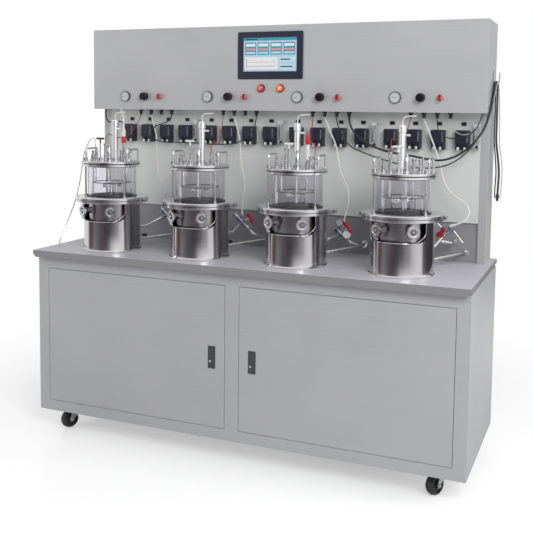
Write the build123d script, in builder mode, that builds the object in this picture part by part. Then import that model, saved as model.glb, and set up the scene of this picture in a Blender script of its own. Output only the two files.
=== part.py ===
from build123d import *

import os
from math import asin, cos, pi, radians, sin, sqrt, tan

# Four stirred vessels on a bench top, over a two-door cabinet on casters, with a rear panel and an
# overhead console. Millimetres. Origin on the floor under the middle of the footprint, +Z up, the
# doors and the console face -Y, +X is to the right as seen from the front.

os.makedirs("parts", exist_ok=True)

# ---- driving dimensions ------------------------------------------------------------------------
SHEET = 1.5                      # thickness of the folded sheet
RUNNING_GAP = 0.05               # radial clearance of a shaft or pin in its hole
SEAT_GAP = 0.3                   # clearance round a piece that only drops in

CABINET_WIDTH = 1750.0
CABINET_DEPTH = 600.0
CABINET_HEIGHT = 643.0
STILE = 47.0
MULLION = 56.0
TOP_RAIL = 47.0
BOTTOM_RAIL = 43.0
LIP = 24.0                       # depth of the folded edge round a door opening
DOOR_STOP = 12.0

DOOR_DEPTH = 20.0
DOOR_GAP = 2.0
PIVOT_FROM_EDGE = 16.0
PIVOT_FROM_FACE = 6.0
PIVOT_DIAMETER = 6.0
PIVOT_LENGTH = 12.0
PIVOT_BUSH_DIAMETER = 12.0
STIFFENER = (60.0, 14.0)         # hat section welded behind each door: width and depth
STIFFENER_X = 400.0

LATCH_WIDTH = 30.0
LATCH_HEIGHT = 86.0
LATCH_DEPTH = 20.0
LATCH_RIM = 1.5
LATCH_WALL = 2.0
LATCH_X = 83.0
LATCH_Z = 410.0
LATCH_POCKET_DEPTH = 13.5
LATCH_LEVER_THICKNESS = 5.0
LATCH_PIN_DIAMETER = 4.0
LATCH_HUB_DIAMETER = 9.0
LATCH_POCKET_MARGIN = 6.0        # pocket shorter than the cup by this
LEVER_CLEARANCE = 1.0            # paddle shorter and narrower than its pocket by this
LEVER_LIP = (2.0, 7.0)           # finger lip: thickness at the tip and length of its slope
KEY_PLUG_PLACE = (-6.0, -16.0)   # from the latch's middle
KEY_PLUG = (9.0, 1.2)
KEY_SLOT = (1.2, 5.0, 0.8)

BENCH_THICKNESS = 28.0
BENCH_FRONT_OVERHANG = 34.0
BENCH_END_OVERHANG = 3.0
BENCH_END_BEVEL = 13.0

CASTER_FROM_SIDE = 104.0
CASTER_FROM_EDGE = 110.4
CASTER_TRAIL = 36.0
CASTER_TURN = 244.3              # where the wheels trail to, counted from +X
CASTER_PLATE = (92.0, 76.0, 2.5)
CASTER_BOLT_INSET = 9.0
CASTER_BOLT_DIAMETER = 8.4
CASTER_PIN_DIAMETER = 12.0
CASTER_PIN_HEAD = (20.0, 4.0)
CASTER_CROWN_DIAMETER = 62.0
CASTER_CROWN_HEIGHT = 9.0
WHEEL_DIAMETER = 75.0
CASTER_HEAD = 20.0               # top of the wheel to the underside of the cabinet
WHEEL_WIDTH = 32.0
WHEEL_AXLE_DIAMETER = 8.0
FORK_SHEET = 2.5
FORK_SIDE_GAP = 2.0
AXLE_NUT = (14.0, 4.0)

CONSOLE_WIDTH = 1702.0
CONSOLE_DEPTH = 232.0
CONSOLE_HEIGHT = 344.0
COLUMN_DEPTH = 150.0
UPRIGHT_WIDTH = 30.0
RECESS_HEIGHT = 154.0              # open part of the column, between the bench and the panel
PANEL_HEIGHT = 420.0
PANEL_FLANGE = 22.0
RECESS_SETBACK = 10.0
RECESS_EDGE = 12.0

SCREEN_SIZE = (283.0, 190.0)
SCREEN_PLACE = (-8.5, 223.0)       # its middle: across, and above the console's lower edge
SCREEN_PROUD = 6.0
DISPLAY_SIZE = (231.0, 135.0)
DISPLAY_RAISE = 3.5              # centre of the display above the centre of its bezel
DISPLAY_THICKNESS = 3.0

CONTROL_RISE = 56.0                # knobs and gauges above the console's lower edge
CONTROL_PITCH = 399.0
FIRST_GAUGE_X = -688.0
FIRST_REGULATOR_X = -588.5
FIRST_SELECTOR_X = -516.0
GAUGE_DIAMETER = 45.0
GAUGE_PROUD = 9.0
REGULATOR_DIAMETER = 34.0
REGULATOR_LENGTH = 22.0
REGULATOR_COLLAR = (26.0, 5.0)
REGULATOR_FLUTES = 12
REGULATOR_FLUTE_LENGTH = 13.0
REGULATOR_FLANGE = 4.0           # plain ring behind the flutes
FLUTE_RADIUS = 1.6
SELECTOR_DIAMETER = 25.0
SELECTOR_LENGTH = 20.0
SELECTOR_COLLAR = (29.0, 3.0)
SELECTOR_BAR = 8.0
SPINDLE_DIAMETER = 8.0
SPINDLE_REACH = 14.0             # spindle in front of a selector's collar
REGULATOR_SPINDLE_REACH = 14.0
KNOB_GAP = 1.0

BUTTON_RISE = 91.0
BUTTON_X = (-46.0, 38.0)
BUTTON_DIAMETER = 27.0
BUTTON_SHANK_DIAMETER = 18.0
BUTTON_COLLAR = (32.0, 5.0)
BUTTON_TRAVEL = 4.0
BUTTON_HEAD = 10.0
BUTTON_DOME = 6.0
BUTTON_SHANK_BEHIND = 12.0
BUTTON_SPARE = 0.5

GROUPS = 4
GROUP_PITCH = 395.0
PUMP_PITCH = 92.5
FIRST_PUMP_X = -705.0
PUMP_PLATE = (75.0, 78.0, 4.0)
PUMP_PLATE_DROP = 101.0            # middle of the plate below the console's lower edge
PUMP_HEAD = (54.0, 76.0, 32.0)
PUMP_HEAD_DROP = 141.0             # lower edge of the head below the console's
PUMP_NOTCH = (44.0, 22.0, 12.0)    # width, height and depth of the notch for the hose stubs
PUMP_STRIP = (6.0, 9.0, 8.0)       # grip strip: width, place from the right edge, margin at its ends
PUMP_PORT_DIAMETER = 8.0
PUMP_PORT_X = (-16.0, 10.0)
ROCKER_SIZE = (19.0, 14.0, 7.0)
ROCKER_DROP = 42.0

METER_FROM_LAST_PUMP = 50.0
METER_SIZE = (23.0, 94.0)
METER_DROP = 134.0
METER_BLOCK = (14.0, 26.0)
METER_TUBE_DIAMETER = 12.0

SOCKET_PITCH = 51.0
FIRST_SOCKET_X = -642.0
SOCKET_GROUP_PITCH = 400.3
SOCKET_Y = 137.0
SOCKET_DIAMETER = 15.0
SOCKET_LENGTH = 22.0
SOCKET_NUT = (20.0, 6.0)
SOCKET_TAPER = 6.0

HOOK_Y = 212.0
HOOK_HEIGHT = 112.0                # above the console's lower edge
HOOK_REACH = 26.0
HOOK_RISE = 42.0
HOOK_ROD = 6.0
HOOK_BEND = 9.0
HOOK_PLATE = (14.0, 66.0, 3.0)
HOOK_PLATE_RAISE = 15.0

VESSEL_PITCH = 406.0
FIRST_VESSEL_X = -617.5
VESSEL_FROM_FRONT = 183.0        # vessel axis behind the bench's front edge

STAND_DIAMETER = 229.0
STAND_WALL = 2.0
STAND_HEIGHT = 197.0
STAND_FOOT = 5.0
WINDOW_BOTTOM = 122.0
WINDOW_HALF_ANGLE = 60.0
WINDOW_CORNER = 25.0

FLANGE_DIAMETER = 294.0
FLANGE_THICKNESS = 22.0
BODY_DIAMETER = 192.0
BODY_WALL = 5.0
BODY_STRAIGHT_BOTTOM = 108.0
CROWN_RADIUS = 182.0             # dished bottom: inside radius of its crown and of its knuckle
KNUCKLE_RADIUS = 18.2
DRAIN_DIAMETER = 30.0
DRAIN_BOTTOM = 45.0
LUG_SIZE = (26.0, 12.0)

GLASS_DIAMETER = 197.0
GLASS_WALL = 5.5
GLASS_HEIGHT = 124.0

LID_DIAMETER = 230.0
LID_THICKNESS = 20.0
LID_GROOVE = (2.0, 3.0)
TIE_ROD_RADIUS = 106.0
TIE_ROD_DIAMETER = 8.0
TIE_ROD_ANGLES = (-30.0, 90.0, 210.0)
TIE_NUT = (18.0, 13.0)

PORT_ANGLES = (-60.0, -120.0)
PORT_HEIGHT = 165.0
PORT_TUBE_DIAMETER = 26.0
PORT_REACH = 131.0
PORT_WALL = 2.0
FERRULE = (37.0, 3.0)
CLAMP_DIAMETER = 45.0
CLAMP_LIP = 1.5                  # clamp ring behind the ferrule
CLAMP_CAP = 5.0                  # clamp ring in front of the ferrule
CLAMP_RECESS = (3.0, 3.0)
CLAMP_LUG = (11.0, 9.0)
WING_NUT = (9.0, 20.0, 3.0)

POST_DIAMETER = 10.0
POST_TOP = 104.0
STIRRER_HUB_DIAMETER = 24.0
STIRRER_SHAFT_DIAMETER = 10.0
STIRRER_TOP = 285.0
STIRRER_BOTTOM = 79.0
TURBINE_HEIGHTS = (165.0, 263.0)
TURBINE_DISC_DIAMETER = 62.0
TURBINE_DIAMETER = 84.0
TURBINE_BLADE = (22.0, 2.5, 17.0)

# ---- places that follow from them --------------------------------------------------------------
CASTER_HEIGHT = WHEEL_DIAMETER + CASTER_HEAD
BENCH_DEPTH = CABINET_DEPTH + BENCH_FRONT_OVERHANG
BENCH_WIDTH = CABINET_WIDTH + 2 * BENCH_END_OVERHANG
FRONT_EDGE = -BENCH_DEPTH / 2
REAR = BENCH_DEPTH / 2
CABINET_FRONT = FRONT_EDGE + BENCH_FRONT_OVERHANG
CABINET_MIDDLE = (CABINET_FRONT + REAR) / 2
CABINET_TOP = CASTER_HEIGHT + CABINET_HEIGHT
BENCH_TOP = CABINET_TOP + BENCH_THICKNESS

OPENING_WIDTH = (CABINET_WIDTH - 2 * STILE - MULLION) / 2
OPENING_HEIGHT = CABINET_HEIGHT - TOP_RAIL - BOTTOM_RAIL
OPENING_BOTTOM = CASTER_HEIGHT + BOTTOM_RAIL
OPENING_TOP = OPENING_BOTTOM + OPENING_HEIGHT
OPENING_Z = (OPENING_BOTTOM + OPENING_TOP) / 2
OPENING_X = MULLION / 2 + OPENING_WIDTH / 2
PIVOT_X = MULLION / 2 + OPENING_WIDTH - DOOR_GAP - PIVOT_FROM_EDGE
PIVOT_Y = CABINET_FRONT + PIVOT_FROM_FACE

PANEL_BOTTOM = BENCH_TOP + RECESS_HEIGHT
CONSOLE_BOTTOM = PANEL_BOTTOM + PANEL_HEIGHT
CONSOLE_FRONT = REAR - CONSOLE_DEPTH
CONSOLE_TOP = CONSOLE_BOTTOM + CONSOLE_HEIGHT
PANEL_FRONT = REAR - COLUMN_DEPTH
PANEL_WIDTH = CONSOLE_WIDTH - 2 * UPRIGHT_WIDTH
RECESS_FRONT = PANEL_FRONT + RECESS_SETBACK
SCREEN_CENTRE = (SCREEN_PLACE[0], CONSOLE_BOTTOM + SCREEN_PLACE[1])
CONTROL_Z = CONSOLE_BOTTOM + CONTROL_RISE
BUTTON_Z = CONSOLE_BOTTOM + BUTTON_RISE
PUMP_PLATE_Z = CONSOLE_BOTTOM - PUMP_PLATE_DROP
PUMP_HEAD_BOTTOM = CONSOLE_BOTTOM - PUMP_HEAD_DROP
ROCKER_Z = CONSOLE_BOTTOM - ROCKER_DROP
METER_BOTTOM = CONSOLE_BOTTOM - METER_DROP
HOOK_Z = CONSOLE_BOTTOM + HOOK_HEIGHT

GAUGE_XS = [FIRST_GAUGE_X + CONTROL_PITCH * n for n in range(GROUPS)]
REGULATOR_XS = [FIRST_REGULATOR_X + CONTROL_PITCH * n for n in range(GROUPS)]
SELECTOR_XS = [FIRST_SELECTOR_X + CONTROL_PITCH * n for n in range(GROUPS)]
PUMP_XS = [FIRST_PUMP_X + PUMP_PITCH * k + GROUP_PITCH * n for n in range(GROUPS) for k in range(4)]
SOCKET_XS = [
    FIRST_SOCKET_X + SOCKET_PITCH * k + SOCKET_GROUP_PITCH * n for n in range(GROUPS) for k in range(4)
]
VESSEL_XS = [FIRST_VESSEL_X + VESSEL_PITCH * n for n in range(GROUPS)]
VESSEL_Y = FRONT_EDGE + VESSEL_FROM_FRONT
VESSEL_PLACES = [(x, VESSEL_Y, BENCH_TOP) for x in VESSEL_XS]

FLANGE_TOP = STAND_HEIGHT + FLANGE_THICKNESS
LID_BOTTOM = FLANGE_TOP + GLASS_HEIGHT
LID_TOP = LID_BOTTOM + LID_THICKNESS


def facing(y):
    """Plane at depth y whose sketches face the front: x to the right, y up, normal -Y."""
    return Plane.XZ.offset(-y)


def save(part, name):
    """Label a finished piece and write it to its own file."""
    part.label = name
    export_step(part, f"parts/{name}.step")


def repeated(piece, places):
    """Copies of a piece built at the origin, one at each place."""
    with BuildPart() as group:
        with Locations(*places):
            add(piece)
    return group.part


def turned(profile, plane=Plane.XZ):
    """Piece turned from a closed profile of (radius, height) points about the plane's y axis."""
    with BuildPart() as piece:
        with BuildSketch(plane):
            with BuildLine():
                Polyline(*profile, close=True)
            make_face()
        revolve(axis=Axis(plane.origin, plane.y_dir))
    return piece.part


def forward(x, y, z):
    """Plane at a point whose y direction comes forward, so that turned pieces face the front."""
    return Plane(origin=(x, y, z), x_dir=(1, 0, 0), z_dir=(0, 0, -1))


def rod(start, end, diameter):
    """Straight round bar between two points."""
    axis = Vector(*end) - Vector(*start)
    with BuildPart() as bar:
        with BuildSketch(Plane(origin=start, z_dir=axis)):
            Circle(diameter / 2)
        extrude(amount=axis.length)
    return bar.part


def corner_radii(points, share=0.45):
    """Radius at each corner: a share of the shorter run over the tangent of half the turn."""
    radii = []
    for before, corner, after in zip(points, points[1:], points[2:]):
        arriving = Vector(*corner) - Vector(*before)
        leaving = Vector(*after) - Vector(*corner)
        half_turn = radians(arriving.get_angle(leaving)) / 2
        radii.append(share * min(arriving.length, leaving.length) / tan(half_turn))
    return radii


def tube_along(points, diameter, radii):
    """Round tube, closed inside, along straight runs joined by tangent arcs."""
    with BuildPart() as tube:
        with BuildLine() as path:
            FilletPolyline(*points, radius=radii)
        with BuildSketch(Plane(origin=points[0], z_dir=path.line % 0)):
            Circle(diameter / 2)
        sweep(path=path.line)
    return tube.part


# ---- cabinet -----------------------------------------------------------------------------------
# One folded and welded shell: closed box, a frame round each door opening with folded edges and a
# stop behind the free edge of each door, a centre partition and the four pivot pins of the doors.
with BuildPart() as cabinet_shell:
    with BuildSketch(Plane.XY.offset(CASTER_HEIGHT)):
        with Locations((0, CABINET_MIDDLE)):
            Rectangle(CABINET_WIDTH, CABINET_DEPTH)
    extrude(amount=CABINET_HEIGHT)
    with BuildSketch(Plane.XY.offset(CASTER_HEIGHT + SHEET)):
        with Locations((0, CABINET_MIDDLE)):
            Rectangle(CABINET_WIDTH - 2 * SHEET, CABINET_DEPTH - 2 * SHEET)
    extrude(amount=CABINET_HEIGHT - 2 * SHEET, mode=Mode.SUBTRACT)
    with BuildSketch(facing(CABINET_FRONT)):
        with Locations((-OPENING_X, OPENING_Z), (OPENING_X, OPENING_Z)):
            Rectangle(OPENING_WIDTH + 2 * SHEET, OPENING_HEIGHT + 2 * SHEET)
    extrude(amount=-LIP)
    with BuildSketch(facing(CABINET_FRONT)):
        with Locations((-OPENING_X, OPENING_Z), (OPENING_X, OPENING_Z)):
            Rectangle(OPENING_WIDTH, OPENING_HEIGHT)
    extrude(amount=-LIP, mode=Mode.SUBTRACT)
    with BuildSketch(facing(CABINET_FRONT + LIP)):
        for side in (-1, 1):
            with Locations((side * (MULLION / 2 + (DOOR_STOP - SHEET) / 2), OPENING_Z)):
                Rectangle(DOOR_STOP + SHEET, OPENING_HEIGHT)
    extrude(amount=SHEET)
    with BuildSketch(Plane.XY.offset(CASTER_HEIGHT)):
        with Locations((0, CABINET_MIDDLE)):
            Rectangle(SHEET, CABINET_DEPTH)
    extrude(amount=CABINET_HEIGHT)
    for side in (-1, 1):
        with BuildSketch(Plane.XY.offset(OPENING_BOTTOM - SHEET)):
            with Locations((side * PIVOT_X, PIVOT_Y)):
                Circle(PIVOT_DIAMETER / 2)
        extrude(amount=SHEET + PIVOT_LENGTH)
        with BuildSketch(Plane.XY.offset(OPENING_TOP + SHEET)):
            with Locations((side * PIVOT_X, PIVOT_Y)):
                Circle(PIVOT_DIAMETER / 2)
        extrude(amount=-(SHEET + PIVOT_LENGTH))
save(cabinet_shell.part, "cabinet_shell")

# ---- doors -------------------------------------------------------------------------------------
DOOR_WIDTH = OPENING_WIDTH - 2 * DOOR_GAP
DOOR_HEIGHT = OPENING_HEIGHT - 2 * DOOR_GAP
LATCH_HOLE = (LATCH_WIDTH - 3.0, LATCH_HEIGHT - 3.0)


def door(side):
    """Folded pan with a hat-section stiffener, a bush for each pivot pin and a hole for the latch."""
    with BuildPart() as pan:
        with BuildSketch(facing(CABINET_FRONT)):
            with Locations((side * OPENING_X, OPENING_Z)):
                Rectangle(DOOR_WIDTH, DOOR_HEIGHT)
        extrude(amount=-DOOR_DEPTH)
        with BuildSketch(facing(CABINET_FRONT + SHEET)):
            with Locations((side * OPENING_X, OPENING_Z)):
                Rectangle(DOOR_WIDTH - 2 * SHEET, DOOR_HEIGHT - 2 * SHEET)
        extrude(amount=-DOOR_DEPTH, mode=Mode.SUBTRACT)
        stiffener_height = DOOR_HEIGHT - 2 * SHEET
        with BuildSketch(facing(CABINET_FRONT + SHEET)):
            with Locations((side * STIFFENER_X, OPENING_Z)):
                Rectangle(STIFFENER[0], stiffener_height)
        extrude(amount=-STIFFENER[1])
        with BuildSketch(facing(CABINET_FRONT + SHEET)):
            with Locations((side * STIFFENER_X, OPENING_Z)):
                Rectangle(STIFFENER[0] - 2 * SHEET, stiffener_height)
        extrude(amount=-(STIFFENER[1] - SHEET), mode=Mode.SUBTRACT)
        bush_length = PIVOT_LENGTH - DOOR_GAP
        for level, way in ((OPENING_BOTTOM + DOOR_GAP, 1), (OPENING_TOP - DOOR_GAP, -1)):
            with BuildSketch(Plane.XY.offset(level)):
                with Locations((side * PIVOT_X, PIVOT_Y)):
                    Circle(PIVOT_BUSH_DIAMETER / 2)
            extrude(amount=way * bush_length)
            with BuildSketch(Plane.XY.offset(level)):
                with Locations((side * PIVOT_X, PIVOT_Y)):
                    Circle(PIVOT_DIAMETER / 2 + RUNNING_GAP)
            extrude(amount=way * (bush_length + 1), mode=Mode.SUBTRACT)
        with BuildSketch(facing(CABINET_FRONT)):
            with Locations((side * LATCH_X, LATCH_Z)):
                Rectangle(*LATCH_HOLE)
        extrude(amount=-SHEET, mode=Mode.SUBTRACT)
    return pan.part


save(door(-1), "left_door")
save(door(1), "right_door")

# ---- door latches ------------------------------------------------------------------------------
LATCH_FACE = CABINET_FRONT - LATCH_RIM
LATCH_BODY = (LATCH_HOLE[0] - 2 * SEAT_GAP, LATCH_HOLE[1] - 2 * SEAT_GAP)
LATCH_POCKET = (LATCH_BODY[0] - 2 * LATCH_WALL, LATCH_BODY[1] - LATCH_POCKET_MARGIN)
LEVER_WIDTH = LATCH_POCKET[0] - LEVER_CLEARANCE
LEVER_AXIS_Y = LATCH_FACE + LATCH_HUB_DIAMETER / 2
LEVER_AXIS_Z = LATCH_Z + LATCH_POCKET[1] / 2 - LATCH_HUB_DIAMETER / 2 - 2 * SEAT_GAP
KEY_PLACE = (KEY_PLUG_PLACE[0], LATCH_Z + KEY_PLUG_PLACE[1])


def latch_case(side):
    """Flush cup with a thin rim on the door's face and a pin hole through both side walls."""
    with BuildPart() as case:
        with BuildSketch(facing(CABINET_FRONT)):
            with Locations((side * LATCH_X, LATCH_Z)):
                RectangleRounded(LATCH_WIDTH, LATCH_HEIGHT, 2)
        extrude(amount=LATCH_RIM)
        with BuildSketch(facing(CABINET_FRONT)):
            with Locations((side * LATCH_X, LATCH_Z)):
                Rectangle(*LATCH_BODY)
        extrude(amount=-(LATCH_DEPTH - LATCH_RIM))
        with BuildSketch(facing(LATCH_FACE)):
            with Locations((side * LATCH_X, LATCH_Z)):
                Rectangle(*LATCH_POCKET)
        extrude(amount=-LATCH_POCKET_DEPTH, mode=Mode.SUBTRACT)
        with BuildSketch(Plane.YZ.offset(side * LATCH_X)):
            with Locations((LEVER_AXIS_Y, LEVER_AXIS_Z)):
                Circle(LATCH_PIN_DIAMETER / 2 + RUNNING_GAP)
        extrude(amount=LATCH_WIDTH / 2, both=True, mode=Mode.SUBTRACT)
    return case.part


def latch_lever(side):
    """Paddle that swings out at its lower end about a pin moulded through its rolled top edge."""
    bottom = LATCH_Z - LATCH_POCKET[1] / 2 + LEVER_CLEARANCE
    key_place = (side * LATCH_X + KEY_PLACE[0], KEY_PLACE[1])
    with BuildPart() as lever:
        with BuildSketch(Plane.YZ.offset(side * LATCH_X)):
            with Locations((LEVER_AXIS_Y, LEVER_AXIS_Z)):
                Circle(LATCH_HUB_DIAMETER / 2)
            with BuildLine():
                Polyline(
                    (LATCH_FACE, LEVER_AXIS_Z),
                    (LATCH_FACE, bottom),
                    (LATCH_FACE + LEVER_LIP[0], bottom),
                    (LATCH_FACE + LATCH_LEVER_THICKNESS, bottom + LEVER_LIP[1]),
                    (LATCH_FACE + LATCH_LEVER_THICKNESS, LEVER_AXIS_Z),
                    close=True,
                )
            make_face()
        extrude(amount=LEVER_WIDTH / 2, both=True)
        with BuildSketch(Plane.YZ.offset(side * LATCH_X)):
            with Locations((LEVER_AXIS_Y, LEVER_AXIS_Z)):
                Circle(LATCH_PIN_DIAMETER / 2)
        extrude(amount=LATCH_BODY[0] / 2 - SEAT_GAP, both=True)
        with BuildSketch(facing(LATCH_FACE)):
            with Locations(key_place):
                Circle(KEY_PLUG[0] / 2)
        extrude(amount=KEY_PLUG[1])
        with BuildSketch(facing(LATCH_FACE - KEY_PLUG[1])):
            with Locations(key_place):
                Rectangle(KEY_SLOT[0], KEY_SLOT[1])
        extrude(amount=-KEY_SLOT[2], mode=Mode.SUBTRACT)
    return lever.part


for name, side in (("left", -1), ("right", 1)):
    save(latch_case(side), f"{name}_latch_case")
    save(latch_lever(side), f"{name}_latch_handle")

# ---- bench top ---------------------------------------------------------------------------------
# Slab with small rounds on its upper edges, bevelled under both ends.
with BuildPart() as bench_top:
    with BuildSketch(facing(FRONT_EDGE)):
        with BuildLine():
            Polyline(
                (-BENCH_WIDTH / 2, BENCH_TOP),
                (BENCH_WIDTH / 2, BENCH_TOP),
                (BENCH_WIDTH / 2, CABINET_TOP + BENCH_END_BEVEL),
                (BENCH_WIDTH / 2 - BENCH_END_BEVEL, CABINET_TOP),
                (-BENCH_WIDTH / 2 + BENCH_END_BEVEL, CABINET_TOP),
                (-BENCH_WIDTH / 2, CABINET_TOP + BENCH_END_BEVEL),
                close=True,
            )
        make_face()
    extrude(amount=-BENCH_DEPTH)
    fillet(bench_top.faces().sort_by(Axis.Z)[-1].edges(), radius=2)
save(bench_top.part, "bench_top")

# ---- casters -----------------------------------------------------------------------------------
CASTER_PLACES = [
    (side * (CABINET_WIDTH / 2 - CASTER_FROM_SIDE), y)
    for y in (CABINET_FRONT + CASTER_FROM_EDGE, REAR - CASTER_FROM_EDGE)
    for side in (-1, 1)
]
PLATE_BOTTOM = CASTER_HEIGHT - CASTER_PLATE[2]
CROWN_TOP = PLATE_BOTTOM - SEAT_GAP
CROWN_BOTTOM = CROWN_TOP - CASTER_CROWN_HEIGHT
TRAIL = Vector(cos(radians(CASTER_TURN)), sin(radians(CASTER_TURN)), 0)
AXLE = Vector(sin(radians(CASTER_TURN)), -cos(radians(CASTER_TURN)), 0)
WHEEL_Z = WHEEL_DIAMETER / 2
FORK_INSIDE = WHEEL_WIDTH + 2 * FORK_SIDE_GAP
# outline of a fork leg: distance behind the king pin and height above the floor
FORK_LEG = [
    (-20, CROWN_BOTTOM),
    (24, CROWN_BOTTOM),
    (CASTER_TRAIL + 10, WHEEL_Z + 4),
    (CASTER_TRAIL + 6, WHEEL_Z - 9),
    (CASTER_TRAIL - 6, WHEEL_Z - 9),
    (CASTER_TRAIL - 12, WHEEL_Z + 4),
]

# Top plate with four bolt holes and the riveted king pin, whose head holds the fork up.
with BuildPart() as caster_plate:
    with BuildSketch(Plane.XY.offset(PLATE_BOTTOM)):
        RectangleRounded(CASTER_PLATE[0], CASTER_PLATE[1], 8)
        with GridLocations(
            CASTER_PLATE[0] - 2 * CASTER_BOLT_INSET, CASTER_PLATE[1] - 2 * CASTER_BOLT_INSET, 2, 2
        ):
            Circle(CASTER_BOLT_DIAMETER / 2, mode=Mode.SUBTRACT)
    extrude(amount=CASTER_PLATE[2])
    with BuildSketch(Plane.XY.offset(PLATE_BOTTOM)):
        Circle(CASTER_PIN_DIAMETER / 2)
    extrude(amount=-(PLATE_BOTTOM - CROWN_BOTTOM + SEAT_GAP))
    with BuildSketch(Plane.XY.offset(CROWN_BOTTOM - SEAT_GAP)):
        Circle(CASTER_PIN_HEAD[0] / 2)
    extrude(amount=-CASTER_PIN_HEAD[1])
save(repeated(caster_plate.part, CASTER_PLACES), "caster_plates")


def caster_fork(place):
    """Domed crown with two legs that taper to the axle, and the axle bolt with its two heads."""
    with BuildPart() as fork:
        with BuildSketch(Plane.XY.offset(CROWN_BOTTOM)):
            with Locations(place):
                Circle(CASTER_CROWN_DIAMETER / 2)
        extrude(amount=CROWN_TOP - CROWN_BOTTOM)
        chamfer(fork.edges().filter_by(GeomType.CIRCLE).sort_by(Axis.Z)[-1], 4)
        for side in (-1, 1):
            leg_face = side * (FORK_INSIDE / 2)
            origin = Vector(*place, 0) + AXLE * leg_face
            # the plane's y direction points down on one side of the wheel and up on the other
            with BuildSketch(Plane(origin=origin, x_dir=TRAIL, z_dir=AXLE * side)):
                with BuildLine():
                    Polyline(*[(along, side * height) for along, height in FORK_LEG], close=True)
                make_face()
            extrude(amount=FORK_SHEET)
        hub = Vector(*place, WHEEL_Z) + TRAIL * CASTER_TRAIL
        with BuildSketch(Plane(origin=hub, z_dir=AXLE)):
            Circle(WHEEL_AXLE_DIAMETER / 2)
        extrude(amount=FORK_INSIDE / 2 + FORK_SHEET, both=True)
        for side in (-1, 1):
            face = hub + AXLE * side * (FORK_INSIDE / 2 + FORK_SHEET)
            with BuildSketch(Plane(origin=face, z_dir=AXLE * side)):
                RegularPolygon(AXLE_NUT[0] / 2, 6)
            extrude(amount=AXLE_NUT[1])
        with BuildSketch(Plane.XY.offset(CROWN_TOP)):
            with Locations(place):
                Circle(CASTER_PIN_DIAMETER / 2 + RUNNING_GAP)
        extrude(amount=CROWN_BOTTOM - CROWN_TOP, mode=Mode.SUBTRACT)
    return fork.part


def caster_wheel(place):
    """Tyre with rounded shoulders on a dished hub, bored for the axle."""
    hub = Vector(*place, WHEEL_Z) + TRAIL * CASTER_TRAIL
    half = WHEEL_WIDTH / 2
    outer = WHEEL_DIAMETER / 2
    bore = WHEEL_AXLE_DIAMETER / 2 + RUNNING_GAP
    with BuildPart() as wheel:
        with BuildSketch(Plane(origin=hub, x_dir=TRAIL, z_dir=TRAIL.cross(AXLE))):
            with BuildLine():
                Polyline(
                    (bore, -half - 1), (11, -half - 1), (13, -half + 6), (25, -half + 6),
                    (27, -half + 1), (outer - 6, -half),
                )
                RadiusArc((outer - 6, -half), (outer, 0), -26)
                RadiusArc((outer, 0), (outer - 6, half), -26)
                Polyline(
                    (outer - 6, half), (27, half - 1), (25, half - 6), (13, half - 6),
                    (11, half + 1), (bore, half + 1), (bore, -half - 1),
                )
            make_face()
        revolve(axis=Axis(hub, AXLE))
    return wheel.part


for number, place in enumerate(CASTER_PLACES, start=1):
    save(caster_fork(place), f"caster_fork_{number}")
    save(caster_wheel(place), f"caster_wheel_{number}")

# ---- rear column -------------------------------------------------------------------------------
COLUMN_MIDDLE = (PANEL_FRONT + REAR) / 2
UPRIGHT_X = CONSOLE_WIDTH / 2 - UPRIGHT_WIDTH / 2

# Two folded box uprights on the bench, the cover behind panel and console, and the dark plate
# low in the recess that the pipework comes out of.
with BuildPart() as rear_frame:
    with BuildSketch(Plane.XY.offset(BENCH_TOP)):
        with Locations((-UPRIGHT_X, COLUMN_MIDDLE), (UPRIGHT_X, COLUMN_MIDDLE)):
            Rectangle(UPRIGHT_WIDTH, COLUMN_DEPTH)
            Rectangle(UPRIGHT_WIDTH - 2 * SHEET, COLUMN_DEPTH - 2 * SHEET, mode=Mode.SUBTRACT)
    extrude(amount=CONSOLE_BOTTOM - BENCH_TOP)
    with BuildSketch(facing(REAR)):
        with Locations((0, (BENCH_TOP + CONSOLE_TOP) / 2)):
            Rectangle(CONSOLE_WIDTH, CONSOLE_TOP - BENCH_TOP)
    extrude(amount=SHEET)
    with BuildSketch(facing(RECESS_FRONT)):
        with Locations((0, (BENCH_TOP + PANEL_BOTTOM) / 2)):
            Rectangle(PANEL_WIDTH, PANEL_BOTTOM - BENCH_TOP)
    extrude(amount=-SHEET)
    for side in (-1, 1):
        with BuildSketch(facing(RECESS_FRONT)):
            with Locations((side * (PANEL_WIDTH - RECESS_EDGE) / 2, (BENCH_TOP + PANEL_BOTTOM) / 2)):
                Rectangle(RECESS_EDGE, PANEL_BOTTOM - BENCH_TOP)
        extrude(amount=-SHEET)
save(rear_frame.part, "rear_frame")

# Pale panel that carries the pumps: a pan folded back along its lower and upper edges.
with BuildPart() as back_panel:
    panel_height = CONSOLE_BOTTOM - PANEL_BOTTOM
    with BuildSketch(facing(PANEL_FRONT)):
        with Locations((0, PANEL_BOTTOM + panel_height / 2)):
            Rectangle(PANEL_WIDTH, panel_height)
    extrude(amount=-PANEL_FLANGE)
    with BuildSketch(facing(PANEL_FRONT + SHEET)):
        with Locations((0, PANEL_BOTTOM + panel_height / 2)):
            Rectangle(PANEL_WIDTH, panel_height - 2 * SHEET)
    extrude(amount=-PANEL_FLANGE, mode=Mode.SUBTRACT)
save(back_panel.part, "back_panel")

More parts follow.
